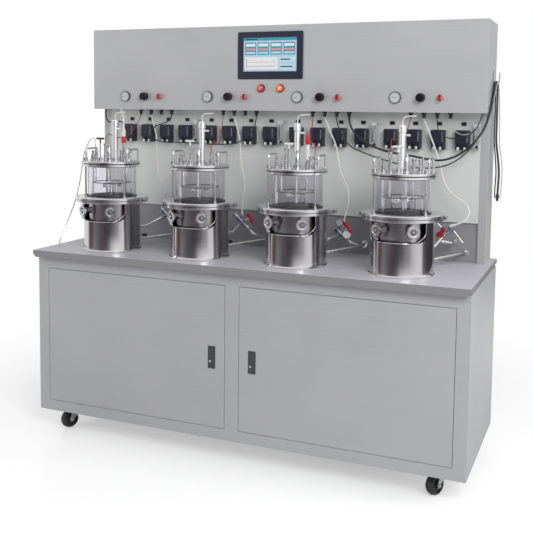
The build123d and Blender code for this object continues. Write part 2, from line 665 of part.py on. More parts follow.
# ---- console -----------------------------------------------------------------------------------
# Folded shell open at the back, with the collars of buttons and knobs and their spindles.
with BuildPart() as console_housing:
    console_middle = (CONSOLE_FRONT + REAR - SHEET) / 2
    with BuildSketch(Plane.XY.offset(CONSOLE_BOTTOM)):
        with Locations((0, console_middle)):
            Rectangle(CONSOLE_WIDTH, CONSOLE_DEPTH - SHEET)
    extrude(amount=CONSOLE_HEIGHT)
    with BuildSketch(Plane.XY.offset(CONSOLE_BOTTOM + SHEET)):
        with Locations((0, console_middle + SHEET)):
            Rectangle(CONSOLE_WIDTH - 2 * SHEET, CONSOLE_DEPTH - SHEET)
    extrude(amount=CONSOLE_HEIGHT - 2 * SHEET, mode=Mode.SUBTRACT)
    for xs, collar, reach in (
        (REGULATOR_XS, REGULATOR_COLLAR, REGULATOR_SPINDLE_REACH),
        (SELECTOR_XS, SELECTOR_COLLAR, SPINDLE_REACH),
    ):
        with BuildSketch(facing(CONSOLE_FRONT)):
            with Locations(*[(x, CONTROL_Z) for x in xs]):
                Circle(collar[0] / 2)
        extrude(amount=collar[1])
        with BuildSketch(facing(CONSOLE_FRONT)):
            with Locations(*[(x, CONTROL_Z) for x in xs]):
                Circle(SPINDLE_DIAMETER / 2)
        extrude(amount=collar[1] + reach)
    with BuildSketch(facing(CONSOLE_FRONT)):
        with Locations(*[(x, BUTTON_Z) for x in BUTTON_X]):
            Circle(BUTTON_COLLAR[0] / 2)
    extrude(amount=BUTTON_COLLAR[1])
    with BuildSketch(facing(CONSOLE_FRONT)):
        with Locations(*[(x, BUTTON_Z) for x in BUTTON_X]):
            Circle(BUTTON_SHANK_DIAMETER / 2 + RUNNING_GAP)
    extrude(amount=BUTTON_COLLAR[1], mode=Mode.SUBTRACT)
    with BuildSketch(facing(CONSOLE_FRONT)):
        with Locations(*[(x, BUTTON_Z) for x in BUTTON_X]):
            Circle(BUTTON_SHANK_DIAMETER / 2 + RUNNING_GAP)
    extrude(amount=-SHEET, mode=Mode.SUBTRACT)
save(console_housing.part, "console_housing")

# Touch screen: a rounded bezel with a recess for the display.
with BuildPart() as screen_bezel:
    with BuildSketch(facing(CONSOLE_FRONT)):
        with Locations(SCREEN_CENTRE):
            RectangleRounded(*SCREEN_SIZE, 5)
    extrude(amount=SCREEN_PROUD)
    chamfer(screen_bezel.faces().sort_by(Axis.Y)[0].edges(), length=1.5)
    with BuildSketch(facing(CONSOLE_FRONT - SCREEN_PROUD)):
        with Locations((SCREEN_CENTRE[0], SCREEN_CENTRE[1] + DISPLAY_RAISE)):
            Rectangle(*DISPLAY_SIZE)
    extrude(amount=-DISPLAY_THICKNESS - 1, mode=Mode.SUBTRACT)
save(screen_bezel.part, "screen_bezel")

with BuildPart() as screen_display:
    with BuildSketch(facing(CONSOLE_FRONT - SCREEN_PROUD + 1)):
        with Locations((SCREEN_CENTRE[0], SCREEN_CENTRE[1] + DISPLAY_RAISE)):
            Rectangle(*DISPLAY_SIZE)
    extrude(amount=-DISPLAY_THICKNESS)
save(screen_display.part, "screen_display")

# Pressure gauges: a rim round a dial set 2 mm back.
gauge_radius = GAUGE_DIAMETER / 2
gauge = turned(
    [
        (0, 0), (gauge_radius, 0), (gauge_radius, GAUGE_PROUD - 1.5), (gauge_radius - 1.5, GAUGE_PROUD),
        (gauge_radius - 3, GAUGE_PROUD), (gauge_radius - 3.5, GAUGE_PROUD - 2), (0, GAUGE_PROUD - 2),
    ],
    forward(0, 0, 0),
)
save(repeated(gauge, [(x, CONSOLE_FRONT, CONTROL_Z) for x in GAUGE_XS]), "gauges")


def control_knob(x, collar, diameter, length, reach):
    """Turned knob with a slight taper and a bevelled face, bored from behind for its spindle."""
    radius = diameter / 2
    bore = SPINDLE_DIAMETER / 2 + RUNNING_GAP
    return turned(
        [
            (bore, 0), (radius, 0), (radius - 0.8, length - 1.5), (radius - 2.3, length),
            (0, length), (0, reach), (bore, reach),
        ],
        forward(x, CONSOLE_FRONT - collar[1] - KNOB_GAP, CONTROL_Z),
    )


for number, x in enumerate(REGULATOR_XS, start=1):
    with BuildPart() as knob:
        add(
            control_knob(
                x, REGULATOR_COLLAR, REGULATOR_DIAMETER, REGULATOR_LENGTH, REGULATOR_SPINDLE_REACH
            )
        )
        with BuildSketch(facing(CONSOLE_FRONT - REGULATOR_COLLAR[1] - KNOB_GAP - REGULATOR_FLANGE)):
            with Locations((x, CONTROL_Z)):
                with PolarLocations(REGULATOR_DIAMETER / 2 + 0.6, REGULATOR_FLUTES):
                    Circle(FLUTE_RADIUS)
        extrude(amount=REGULATOR_FLUTE_LENGTH, mode=Mode.SUBTRACT)
    save(knob.part, f"regulator_knob_{number}")

for number, x in enumerate(SELECTOR_XS, start=1):
    bar_back = CONSOLE_FRONT - SELECTOR_COLLAR[1] - KNOB_GAP
    with BuildPart() as knob:
        add(control_knob(x, SELECTOR_COLLAR, SELECTOR_DIAMETER, SELECTOR_LENGTH - 8, SPINDLE_REACH - 4))
        with BuildSketch(facing(bar_back - 1)):
            with Locations((x, CONTROL_Z)):
                SlotOverall(SELECTOR_DIAMETER - 2.5, SELECTOR_BAR, rotation=90)
        extrude(amount=SELECTOR_LENGTH - 1)
        with BuildSketch(facing(bar_back)):
            with Locations((x, CONTROL_Z)):
                Circle(SPINDLE_DIAMETER / 2 + RUNNING_GAP)
        extrude(amount=SPINDLE_REACH, mode=Mode.SUBTRACT)
    save(knob.part, f"selector_knob_{number}")

# Push buttons: a domed head in front of the collar and a shank that slides through it.
for name, x in (("red_button", BUTTON_X[0]), ("amber_button", BUTTON_X[1])):
    shank = BUTTON_SHANK_DIAMETER / 2
    head = BUTTON_DIAMETER / 2
    head_back = BUTTON_COLLAR[1] + BUTTON_TRAVEL + BUTTON_SPARE
    top_y = -head_back - BUTTON_HEAD
    dome_y = top_y + BUTTON_DOME
    dome_radius = (head**2 + BUTTON_DOME**2) / (2 * BUTTON_DOME)
    half_angle = asin(head / dome_radius) / 2
    with BuildPart() as button:
        with BuildSketch(Plane(origin=(x, CONSOLE_FRONT, BUTTON_Z), x_dir=(1, 0, 0), z_dir=(0, 0, 1))):
            with BuildLine():
                Polyline(
                    (0, BUTTON_SHANK_BEHIND),
                    (shank, BUTTON_SHANK_BEHIND),
                    (shank, -head_back),
                    (head, -head_back),
                    (head, dome_y),
                )
                ThreePointArc(
                    (head, dome_y),
                    (dome_radius * sin(half_angle), top_y + dome_radius * (1 - cos(half_angle))),
                    (0, top_y),
                )
                Line((0, top_y), (0, BUTTON_SHANK_BEHIND))
            make_face()
        revolve(axis=Axis((x, CONSOLE_FRONT, BUTTON_Z), (0, 1, 0)))
    save(button.part, name)

# Cable sockets under the console: a hexagon nut and a tapering gland.
with BuildPart() as cable_socket:
    with BuildSketch(Plane.XY):
        RegularPolygon(SOCKET_NUT[0] / 2, 6)
    extrude(amount=-SOCKET_NUT[1])
    with BuildSketch(Plane.XY.offset(-SOCKET_NUT[1])):
        Circle(SOCKET_DIAMETER / 2)
    extrude(amount=-(SOCKET_LENGTH - SOCKET_NUT[1]), taper=SOCKET_TAPER)
save(repeated(cable_socket.part, [(x, SOCKET_Y, CONSOLE_BOTTOM) for x in SOCKET_XS]), "console_sockets")

# Cable hook: a strap on the console's side with a rod that reaches out and turns up.
with BuildPart() as side_hook:
    hook_base = CONSOLE_WIDTH / 2
    with BuildSketch(Plane.YZ.offset(hook_base)):
        with Locations((HOOK_Y, HOOK_Z + HOOK_PLATE_RAISE)):
            RectangleRounded(HOOK_PLATE[0], HOOK_PLATE[1], 4)
    extrude(amount=HOOK_PLATE[2])
    with BuildLine() as hook_line:
        FilletPolyline(
            (hook_base + 1, HOOK_Y, HOOK_Z),
            (hook_base + HOOK_REACH, HOOK_Y, HOOK_Z),
            (hook_base + HOOK_REACH, HOOK_Y, HOOK_Z + HOOK_RISE),
            radius=HOOK_BEND,
        )
    with BuildSketch(Plane(origin=(hook_base + 1, HOOK_Y, HOOK_Z), z_dir=(1, 0, 0))):
        Circle(HOOK_ROD / 2)
    sweep(path=hook_line.line)
save(side_hook.part, "side_hook")

# ---- pumps and flow meters ---------------------------------------------------------------------
with BuildPart() as pump_base:
    with BuildSketch(facing(0)):
        RectangleRounded(PUMP_PLATE[0], PUMP_PLATE[1], 7)
    extrude(amount=PUMP_PLATE[2])
save(repeated(pump_base.part, [(x, PANEL_FRONT, PUMP_PLATE_Z) for x in PUMP_XS]), "pump_bases")

# Pump head: a block with a rounded front cover, a grip strip at the right and, in a notch at the
# lower left of the front, the stubs of its two hoses.
with BuildPart() as pump_head:
    with BuildSketch(facing(0)):
        with Locations((0, PUMP_HEAD[1] / 2)):
            RectangleRounded(PUMP_HEAD[0], PUMP_HEAD[1], 5)
    extrude(amount=PUMP_HEAD[2])
    fillet(pump_head.faces().sort_by(Axis.Y)[0].edges(), radius=3)
    with BuildSketch(facing(-PUMP_HEAD[2])):
        with Locations(((PUMP_NOTCH[0] - PUMP_HEAD[0]) / 2, PUMP_NOTCH[1] / 2)):
            Rectangle(PUMP_NOTCH[0], PUMP_NOTCH[1])
    extrude(amount=-PUMP_NOTCH[2], mode=Mode.SUBTRACT)
    with BuildSketch(facing(-PUMP_HEAD[2])):
        with Locations((PUMP_HEAD[0] / 2 - PUMP_STRIP[1], (PUMP_HEAD[1] + PUMP_NOTCH[1]) / 2)):
            Rectangle(PUMP_STRIP[0], PUMP_HEAD[1] - PUMP_NOTCH[1] - 2 * PUMP_STRIP[2])
    extrude(amount=1)
    with BuildSketch(Plane.XY):
        for port_x in PUMP_PORT_X:
            with Locations((port_x, PUMP_NOTCH[2] / 2 - PUMP_HEAD[2])):
                Circle(PUMP_PORT_DIAMETER / 2)
    extrude(amount=PUMP_NOTCH[1] + 1)
save(
    repeated(
        pump_head.part, [(x, PANEL_FRONT - PUMP_PLATE[2], PUMP_HEAD_BOTTOM) for x in PUMP_XS]
    ),
    "pump_heads",
)

# Rocker switch: a rim with a rocker that is high at its upper end.
with BuildPart() as rocker_switch:
    with BuildSketch(facing(0)):
        RectangleRounded(ROCKER_SIZE[0], ROCKER_SIZE[1], 1.5)
    extrude(amount=2)
    with BuildSketch(Plane.YZ):
        with BuildLine():
            Polyline(
                (-2, -ROCKER_SIZE[1] / 2 + 1.5), (-3, -ROCKER_SIZE[1] / 2 + 1.5), (-3.2, 0),
                (-ROCKER_SIZE[2], ROCKER_SIZE[1] / 2 - 1.5), (-2, ROCKER_SIZE[1] / 2 - 1.5), close=True,
            )
        make_face()
    extrude(amount=ROCKER_SIZE[0] / 2 - 1.5, both=True)
save(repeated(rocker_switch.part, [(x, PANEL_FRONT, ROCKER_Z) for x in PUMP_XS]), "rocker_switches")

# Flow meter: a back plate with an upper and a lower block, and the needle valve's knob.
with BuildPart() as flow_meter:
    with BuildSketch(facing(0)):
        with Locations((0, METER_SIZE[1] / 2)):
            RectangleRounded(METER_SIZE[0], METER_SIZE[1], 2)
    extrude(amount=6)
    with BuildSketch(facing(0)):
        for level in (METER_BLOCK[0] / 2, METER_SIZE[1] - METER_BLOCK[0] / 2):
            with Locations((0, level)):
                Rectangle(METER_SIZE[0] - 2, METER_BLOCK[0])
    extrude(amount=METER_BLOCK[1])
    with BuildSketch(facing(-METER_BLOCK[1])):
        with Locations((4, METER_BLOCK[0] / 2)):
            Circle(5.5)
    extrude(amount=12, taper=2)
METER_PLACES = [(x + METER_FROM_LAST_PUMP, PANEL_FRONT, METER_BOTTOM) for x in PUMP_XS[3::4]]
save(repeated(flow_meter.part, METER_PLACES), "flow_meters")

with BuildPart() as flow_tube:
    with BuildSketch(Plane.XY.offset(METER_BLOCK[0])):
        with Locations((-3, -METER_BLOCK[1] + METER_TUBE_DIAMETER / 2 + 2)):
            Circle(METER_TUBE_DIAMETER / 2)
            Circle(METER_TUBE_DIAMETER / 2 - 2, mode=Mode.SUBTRACT)
    extrude(amount=METER_SIZE[1] - 2 * METER_BLOCK[0])
save(repeated(flow_tube.part, METER_PLACES), "flow_tubes")

# ---- vessels: each piece is built about the vessel's axis with the bench at z = 0 --------------
stand_outer = STAND_DIAMETER / 2
stand_inner = stand_outer - STAND_WALL


def port_plane(angle):
    """Plane across a side port at the vessel's axis, its normal pointing out along the port."""
    outward = Vector(cos(radians(angle)), sin(radians(angle)), 0)
    return Plane(origin=(0, 0, PORT_HEIGHT), z_dir=outward)


# Stand: a rolled shell with a turned-out foot and a window that is open up to the flange.
with BuildPart() as vessel_stand:
    with BuildSketch(Plane.XZ):
        with BuildLine():
            Polyline(
                (stand_inner, 0), (stand_outer + STAND_FOOT, 0), (stand_outer + STAND_FOOT, 3),
                (stand_outer + 1.5, 7), (stand_outer, 14), (stand_outer, STAND_HEIGHT),
                (stand_inner, STAND_HEIGHT), close=True,
            )
        make_face()
    revolve(axis=Axis.Z)
    window_half = stand_outer * sin(radians(WINDOW_HALF_ANGLE))
    with BuildSketch(facing(0)):
        with BuildLine():
            FilletPolyline(
                (-window_half, STAND_HEIGHT + 1), (-window_half, WINDOW_BOTTOM),
                (window_half, WINDOW_BOTTOM), (window_half, STAND_HEIGHT + 1), radius=WINDOW_CORNER,
            )
            Line((window_half, STAND_HEIGHT + 1), (-window_half, STAND_HEIGHT + 1))
        make_face()
    extrude(amount=STAND_DIAMETER, mode=Mode.SUBTRACT)
save(repeated(vessel_stand.part, VESSEL_PLACES), "vessel_stands")

# Steel vessel: straight wall, torispherical bottom, flange, drain boss, bearing post, two lifting
# lugs and the two side ports with their ferrules, in one weldment.
body_radius = BODY_DIAMETER / 2
body_bore = body_radius - BODY_WALL
knuckle_x = body_bore - KNUCKLE_RADIUS
crown_z = BODY_STRAIGHT_BOTTOM + sqrt((CROWN_RADIUS - KNUCKLE_RADIUS) ** 2 - knuckle_x**2)
crown_half_angle = asin(knuckle_x / (CROWN_RADIUS - KNUCKLE_RADIUS))
BODY_INSIDE_BOTTOM = crown_z - CROWN_RADIUS


def on_circle(centre_x, centre_z, radius, angle):
    """Point of the dish's outline at an angle counted from straight down."""
    return (centre_x + radius * sin(angle), centre_z - radius * cos(angle))


def dish_arcs(thickness):
    """Crown and knuckle arcs of the dish, drawn from the axis outwards at a distance from its inside."""
    crown = CROWN_RADIUS + thickness
    knuckle = KNUCKLE_RADIUS + thickness
    knuckle_middle = (crown_half_angle + pi / 2) / 2
    ThreePointArc(
        on_circle(0, crown_z, crown, 0),
        on_circle(0, crown_z, crown, crown_half_angle / 2),
        on_circle(0, crown_z, crown, crown_half_angle),
    )
    ThreePointArc(
        on_circle(knuckle_x, BODY_STRAIGHT_BOTTOM, knuckle, crown_half_angle),
        on_circle(knuckle_x, BODY_STRAIGHT_BOTTOM, knuckle, knuckle_middle),
        on_circle(knuckle_x, BODY_STRAIGHT_BOTTOM, knuckle, pi / 2),
    )


with BuildPart() as vessel_body:
    with BuildSketch(Plane.XZ):
        with BuildLine():
            dish_arcs(0)
            dish_arcs(BODY_WALL)
            Line((0, BODY_INSIDE_BOTTOM), (0, BODY_INSIDE_BOTTOM - BODY_WALL))
            Polyline(
                (body_radius, BODY_STRAIGHT_BOTTOM), (body_radius, STAND_HEIGHT),
                (FLANGE_DIAMETER / 2 - 1, STAND_HEIGHT), (FLANGE_DIAMETER / 2, STAND_HEIGHT + 1),
                (FLANGE_DIAMETER / 2, FLANGE_TOP - 2), (FLANGE_DIAMETER / 2 - 2, FLANGE_TOP),
                (body_bore, FLANGE_TOP), (body_bore, BODY_STRAIGHT_BOTTOM),
            )
        make_face()
    revolve(axis=Axis.Z)
    with BuildSketch(Plane.XY.offset(DRAIN_BOTTOM)):
        Circle(DRAIN_DIAMETER / 2)
    extrude(amount=BODY_INSIDE_BOTTOM - BODY_WALL / 2 - DRAIN_BOTTOM)
    with BuildSketch(Plane.XY.offset(BODY_INSIDE_BOTTOM - 1)):
        Circle(POST_DIAMETER / 2)
    extrude(amount=POST_TOP - BODY_INSIDE_BOTTOM + 1)
    for side in (-1, 1):
        with BuildSketch(Plane.XY.offset(STAND_HEIGHT + FLANGE_THICKNESS / 2 - 7)):
            with Locations((side * (FLANGE_DIAMETER / 2 + LUG_SIZE[1] / 2 - 3), 0)):
                RectangleRounded(LUG_SIZE[1] + 6, LUG_SIZE[0], 3)
        extrude(amount=14)
    for angle in PORT_ANGLES:
        port = port_plane(angle)
        with BuildSketch(port.offset(body_bore + 1)):
            Circle(PORT_TUBE_DIAMETER / 2)
        extrude(amount=PORT_REACH - body_bore - 1)
        with BuildSketch(port.offset(PORT_REACH - FERRULE[1])):
            Circle(FERRULE[0] / 2)
        extrude(amount=FERRULE[1])
        with BuildSketch(port.offset(body_bore - 4)):
            Circle(PORT_TUBE_DIAMETER / 2 - PORT_WALL)
        extrude(amount=PORT_REACH - body_bore + 4, mode=Mode.SUBTRACT)
save(repeated(vessel_body.part, VESSEL_PLACES), "vessel_bodies")

# Port clamps: a blind cap in a clamp ring that grips the ferrule, with the clamp's hinge lug below
# and its bolt lug above, closed by a wing nut.
clamp_outer = CLAMP_DIAMETER / 2
clamp_bore = FERRULE[0] / 2 + SEAT_GAP
clamp_back = PORT_REACH - FERRULE[1] - CLAMP_LIP
clamp_length = CLAMP_LIP + FERRULE[1] + CLAMP_CAP
with BuildPart() as port_clamps_of_one:
    for angle in PORT_ANGLES:
        port = port_plane(angle)
        with BuildSketch(port.offset(clamp_back)):
            Circle(clamp_outer)
            with Locations((0, clamp_outer), (0, -clamp_outer)):
                RectangleRounded(*CLAMP_LUG, 2)
        extrude(amount=clamp_length)
        with BuildSketch(port.offset(clamp_back)):
            Circle(clamp_bore)
        extrude(amount=CLAMP_LIP + FERRULE[1], mode=Mode.SUBTRACT)
        with BuildSketch(port.offset(clamp_back + clamp_length - CLAMP_RECESS[1])):
            Circle(clamp_bore - CLAMP_RECESS[0])
        extrude(amount=CLAMP_RECESS[1], mode=Mode.SUBTRACT)
        with BuildSketch(port.offset(clamp_back + (clamp_length - WING_NUT[2]) / 2)):
            with Locations((0, clamp_outer + CLAMP_LUG[1] / 2 + WING_NUT[0] / 2 - 1)):
                Ellipse(WING_NUT[1] / 2, WING_NUT[0] / 2)
        extrude(amount=WING_NUT[2])
save(repeated(port_clamps_of_one.part, VESSEL_PLACES), "port_clamps")

# Stirrer motor on the bench inside the stand, under the drain boss that it couples to.
stirrer_motor = turned([
    (0, 0), (50, 0), (50, 4), (36, 4), (36, 38), (33, 40), (16, 40),
    (16, DRAIN_BOTTOM), (0, DRAIN_BOTTOM),
])
save(repeated(stirrer_motor, VESSEL_PLACES), "stirrer_motors")

# Glass wall between flange and head plate.
glass_outer = GLASS_DIAMETER / 2
glass_wall = turned([
    (glass_outer - GLASS_WALL, FLANGE_TOP), (glass_outer, FLANGE_TOP),
    (glass_outer, LID_BOTTOM), (glass_outer - GLASS_WALL, LID_BOTTOM),
])
save(repeated(glass_wall, VESSEL_PLACES), "glass_walls")


def stirrer(x):
    """Bottom-driven stirrer: hub bored for the bearing post, shaft, and two six-bladed turbines."""
    base = Plane(origin=(x, VESSEL_Y, BENCH_TOP))
    with BuildPart() as agitator:
        with BuildSketch(base.offset(STIRRER_BOTTOM)):
            Circle(STIRRER_HUB_DIAMETER / 2)
        extrude(amount=POST_TOP + 12 - STIRRER_BOTTOM)
        with BuildSketch(base.offset(POST_TOP + 8)):
            Circle(STIRRER_SHAFT_DIAMETER / 2)
        extrude(amount=STIRRER_TOP - POST_TOP - 8)
        for height in TURBINE_HEIGHTS:
            with BuildSketch(base.offset(height - 1)):
                Circle(TURBINE_DISC_DIAMETER / 2)
            extrude(amount=2)
            with BuildSketch(base.offset(height - TURBINE_BLADE[2] / 2)):
                with PolarLocations(TURBINE_DIAMETER / 2 - TURBINE_BLADE[0] / 2, 6):
                    Rectangle(TURBINE_BLADE[0], TURBINE_BLADE[1])
            extrude(amount=TURBINE_BLADE[2])
        with BuildSketch(base.offset(STIRRER_BOTTOM)):
            Circle(POST_DIAMETER / 2 + RUNNING_GAP)
        extrude(amount=POST_TOP + SEAT_GAP - STIRRER_BOTTOM, mode=Mode.SUBTRACT)
    return agitator.part


for number, x in enumerate(VESSEL_XS, start=1):
    save(stirrer(x), f"agitator_{number}")

# ---- head plate and what stands on it ----------------------------------------------------------
HANDLE_X = 98.0
HANDLE_HALF_SPAN = 40.0
HANDLE_HEIGHT = 48.0
HANDLE_ROD = 8.0
HANDLE_BEND = 12.0
BOSS_HEIGHT = 8.0
# place on the head plate, tube diameter, and height above the head plate
CONDENSER = ((-22.0, 60.0), 24.0, 165.0)
CONDENSER_CAP = (28.0, 3.0)        # length of the cap, and how far it stands out
CONDENSER_STUB = (36.0, 30.0, 8.0) # below the top, reach from the axis, diameter
OUTLET_TUBE = (5.0, 30.0, 50.0, 4.0, 16.0)  # diameter, rise, run to the side, its slope, and bend
# place on the head plate and tube diameter of each straight fitting
FITTINGS = {
    "exhaust column": ((-62.0, 46.0), 12.0),
    "probe": ((24.0, 52.0), 13.0),
    "sensor": ((22.0, -55.0), 18.0),
    "valve": ((0.0, -84.0), 6.0),
    "filter": ((62.0, 30.0), 12.0),
    "addition port 1": ((-64.0, -42.0), 12.0),
    "addition port 2": ((66.0, -34.0), 12.0),
    "addition port 3": ((-30.0, -72.0), 10.0),
}
FITTING_PROFILES = {
    "exhaust column": [(0, 0), (8, 0), (8, 14), (6, 16), (6, 48), (8, 50), (8, 60), (0, 60)],
    "probe": [(0, 0), (9, 0), (9, 12), (6.5, 14), (6.5, 74), (8, 76), (8, 114), (3, 118), (0, 118)],
    "sensor": [(0, 0), (11, 0), (11, 10), (9, 12), (9, 40), (7, 44), (7, 58), (3, 61), (0, 61)],
    "valve": [(0, 0), (8, 0), (8, 8), (3, 10), (3, 88), (0, 88)],
    "filter": [(0, 0), (8, 0), (8, 10), (4, 12), (4, 22), (11, 25), (11, 33), (4, 36), (4, 46), (0, 46)],
    "addition port 1": [(0, 0), (8, 0), (8, 16), (5, 18), (5, 34), (0, 34)],
    "addition port 2": [(0, 0), (8, 0), (8, 16), (5, 18), (5, 30), (7, 31), (7, 38), (0, 38)],
    "addition port 3": [(0, 0), (7, 0), (7, 12), (4, 14), (4, 40), (0, 40)],
}
# vessels 2 and 4 carry a blanked port where vessels 1 and 3 carry the tall probe
BLANK_PORT = [(0, 0), (9, 0), (9, 12), (6.5, 14), (6.5, 26), (9, 28), (9, 36), (0, 36)]
VESSELS_WITH_PROBE = (0, 2)
T_BAR = (8.0, 34.0, 85.0)          # diameter, length and height above the boss
DIP_TUBES = {"probe": 120.0, "sensor": 105.0, "addition port 1": 95.0, "addition port 3": 60.0}
DIP_DIAMETER = 8.0

# Head plate: two discs with a groove between them, holes for the tie rods and the dip tubes, a
# boss under each fitting, and a bent lifting handle welded on at each side.
lid_radius = LID_DIAMETER / 2
groove_low = LID_BOTTOM + (LID_THICKNESS - LID_GROOVE[0]) / 2
groove_high = groove_low + LID_GROOVE[0]
with BuildPart() as head_plate:
    with BuildSketch(Plane.XZ):
        with BuildLine():
            Polyline(
                (0, LID_BOTTOM), (lid_radius, LID_BOTTOM), (lid_radius, groove_low),
                (lid_radius - LID_GROOVE[1], groove_low), (lid_radius - LID_GROOVE[1], groove_high),
                (lid_radius, groove_high), (lid_radius, LID_TOP - 1.5), (lid_radius - 1.5, LID_TOP),
                (0, LID_TOP), close=True,
            )
        make_face()
    revolve(axis=Axis.Z)
    with BuildSketch(Plane.XY.offset(LID_TOP)):
        for name, (place, diameter) in FITTINGS.items():
            with Locations(place):
                Circle(diameter / 2 + 4)
        with Locations(CONDENSER[0]):
            Circle(CONDENSER[1] / 2 + 4)
    extrude(amount=BOSS_HEIGHT)
    with BuildSketch(Plane.XY.offset(LID_BOTTOM)):
        for angle in TIE_ROD_ANGLES:
            with Locations((TIE_ROD_RADIUS * cos(radians(angle)), TIE_ROD_RADIUS * sin(radians(angle)))):
                Circle(TIE_ROD_DIAMETER / 2 + SEAT_GAP)
    extrude(amount=LID_THICKNESS, mode=Mode.SUBTRACT)
    with BuildSketch(Plane.XY.offset(LID_BOTTOM)):
        for name in DIP_TUBES:
            with Locations(FITTINGS[name][0]):
                Circle(DIP_DIAMETER / 2 + SEAT_GAP)
    extrude(amount=LID_THICKNESS + BOSS_HEIGHT, mode=Mode.SUBTRACT)
    for side in (-1, 1):
        handle_path = [
            (side * HANDLE_X, -HANDLE_HALF_SPAN, LID_TOP - 1),
            (side * HANDLE_X, -HANDLE_HALF_SPAN, LID_TOP + HANDLE_HEIGHT),
            (side * HANDLE_X, HANDLE_HALF_SPAN, LID_TOP + HANDLE_HEIGHT),
            (side * HANDLE_X, HANDLE_HALF_SPAN, LID_TOP - 1),
        ]
        add(tube_along(handle_path, HANDLE_ROD, HANDLE_BEND))
save(repeated(head_plate.part, VESSEL_PLACES), "head_plates")

# Tie rods: shoulder on the flange, rod through the head plate, and a knurled nut on top.
rod_radius = TIE_ROD_DIAMETER / 2
tie_rod = turned([
    (0, FLANGE_TOP), (7, FLANGE_TOP), (7, FLANGE_TOP + 7), (rod_radius, FLANGE_TOP + 9),
    (rod_radius, LID_TOP), (TIE_NUT[0] / 2, LID_TOP), (TIE_NUT[0] / 2, LID_TOP + TIE_NUT[1] - 1),
    (TIE_NUT[0] / 2 - 1, LID_TOP + TIE_NUT[1]), (0, LID_TOP + TIE_NUT[1]),
])
TIE_ROD_PLACES = [
    (x + TIE_ROD_RADIUS * cos(radians(angle)), VESSEL_Y + TIE_ROD_RADIUS * sin(radians(angle)), BENCH_TOP)
    for x in VESSEL_XS
    for angle in TIE_ROD_ANGLES
]
save(repeated(tie_rod, TIE_ROD_PLACES), "tie_rods")



def head_fittings(with_probe):
    """Turned probes and ports of one head plate, the dip tubes below them, and the T handle."""
    foot_z = LID_TOP + BOSS_HEIGHT
    with BuildPart() as fittings:
        for fitting, (place, _) in FITTINGS.items():
            profile = FITTING_PROFILES[fitting]
            if fitting == "probe" and not with_probe:
                profile = BLANK_PORT
            with Locations((place[0], place[1], foot_z)):
                add(turned(profile))
            if fitting in DIP_TUBES:
                with BuildSketch(Plane.XY.offset(foot_z)):
                    with Locations(place):
                        Circle(DIP_DIAMETER / 2)
                extrude(amount=-(LID_THICKNESS + BOSS_HEIGHT + DIP_TUBES[fitting]))
        valve_x, valve_y = FITTINGS["valve"][0]
        with BuildSketch(Plane.YZ.offset(valve_x)):
            with Locations((valve_y, foot_z + T_BAR[2])):
                Circle(T_BAR[0] / 2)
        extrude(amount=T_BAR[1] / 2, both=True)
    return fittings.part


save(
    Compound(
        children=[
            Pos(*place) * head_fittings(number in VESSELS_WITH_PROBE)
            for number, place in enumerate(VESSEL_PLACES)
        ]
    ),
    "head_fittings",
)

# Exhaust condenser: jacketed column, cap, side stub and the thin bent outlet tube.
condenser_x, condenser_y = CONDENSER[0]
condenser_radius = CONDENSER[1] / 2
condenser_top = LID_TOP + CONDENSER[2]
cap_radius = condenser_radius + CONDENSER_CAP[1]
cap_bottom = condenser_top - CONDENSER_CAP[0]
with BuildPart() as condenser:
    with Locations((condenser_x, condenser_y, 0)):
        add(turned([
            (0, LID_TOP + BOSS_HEIGHT), (condenser_radius, LID_TOP + BOSS_HEIGHT),
            (condenser_radius, cap_bottom), (cap_radius, cap_bottom + 3), (cap_radius, condenser_top - 3),
            (condenser_radius, condenser_top), (0, condenser_top),
        ]))
    stub_z = condenser_top - CONDENSER_STUB[0]
    stub_end = (condenser_x + CONDENSER_STUB[1], condenser_y, stub_z)
    add(rod((condenser_x, condenser_y, stub_z), stub_end, CONDENSER_STUB[2]))
    outlet_top = condenser_top + OUTLET_TUBE[1]
    outlet = [
        (condenser_x, condenser_y, condenser_top - 2),
        (condenser_x, condenser_y, outlet_top),
        (condenser_x + OUTLET_TUBE[2], condenser_y, outlet_top + OUTLET_TUBE[3]),
    ]
    add(tube_along(outlet, OUTLET_TUBE[0], OUTLET_TUBE[4]))
save(repeated(condenser.part, VESSEL_PLACES), "condensers")

# ---- cords -------------------------------------------------------------------------------------
HOSE_DIAMETER = 6.0
LOOM_DIAMETER = 8.0
CORD_START = CONSOLE_BOTTOM - SOCKET_LENGTH - 1.5   # a slanting cord end stays under the socket
HOSE_ROUTES = [
    [
        (SOCKET_XS[1], SOCKET_Y, CORD_START), (-571, 124, 1275), (-553, 118, 1226), (-549, 114, 1160),
        (-546, 110, 1092), (-527, 101, 1048), (-497, 92, 1014), (-483, 85, 985), (-487, 79, 953),
    ],
    [
        (SOCKET_XS[5], SOCKET_Y, CORD_START), (-173, 124, 1278), (-157, 118, 1233), (-150, 114, 1187),
        (-146, 109, 1141), (-136, 104, 1092), (-119, 98, 1045), (-121, 91, 1004), (-127, 84, 964),
        (-124, 79, 925),
    ],
    [
        (SOCKET_XS[9], SOCKET_Y, CORD_START), (238, 123, 1260), (267, 117, 1206), (277, 112, 1160),
        (284, 108, 1115), (304, 103, 1074), (327, 98, 1034), (331, 90, 988), (323, 83, 948),
        (317, 79, 912),
    ],
    [
        (SOCKET_XS[13], SOCKET_Y, CORD_START), (640, 123, 1254), (667, 117, 1187), (683, 112, 1138),
        (695, 108, 1088), (716, 102, 1050), (749, 97, 1022), (788, 90, 1004), (803, 84, 968),
        (788, 75, 937), (752, 66, 924),
    ],
]
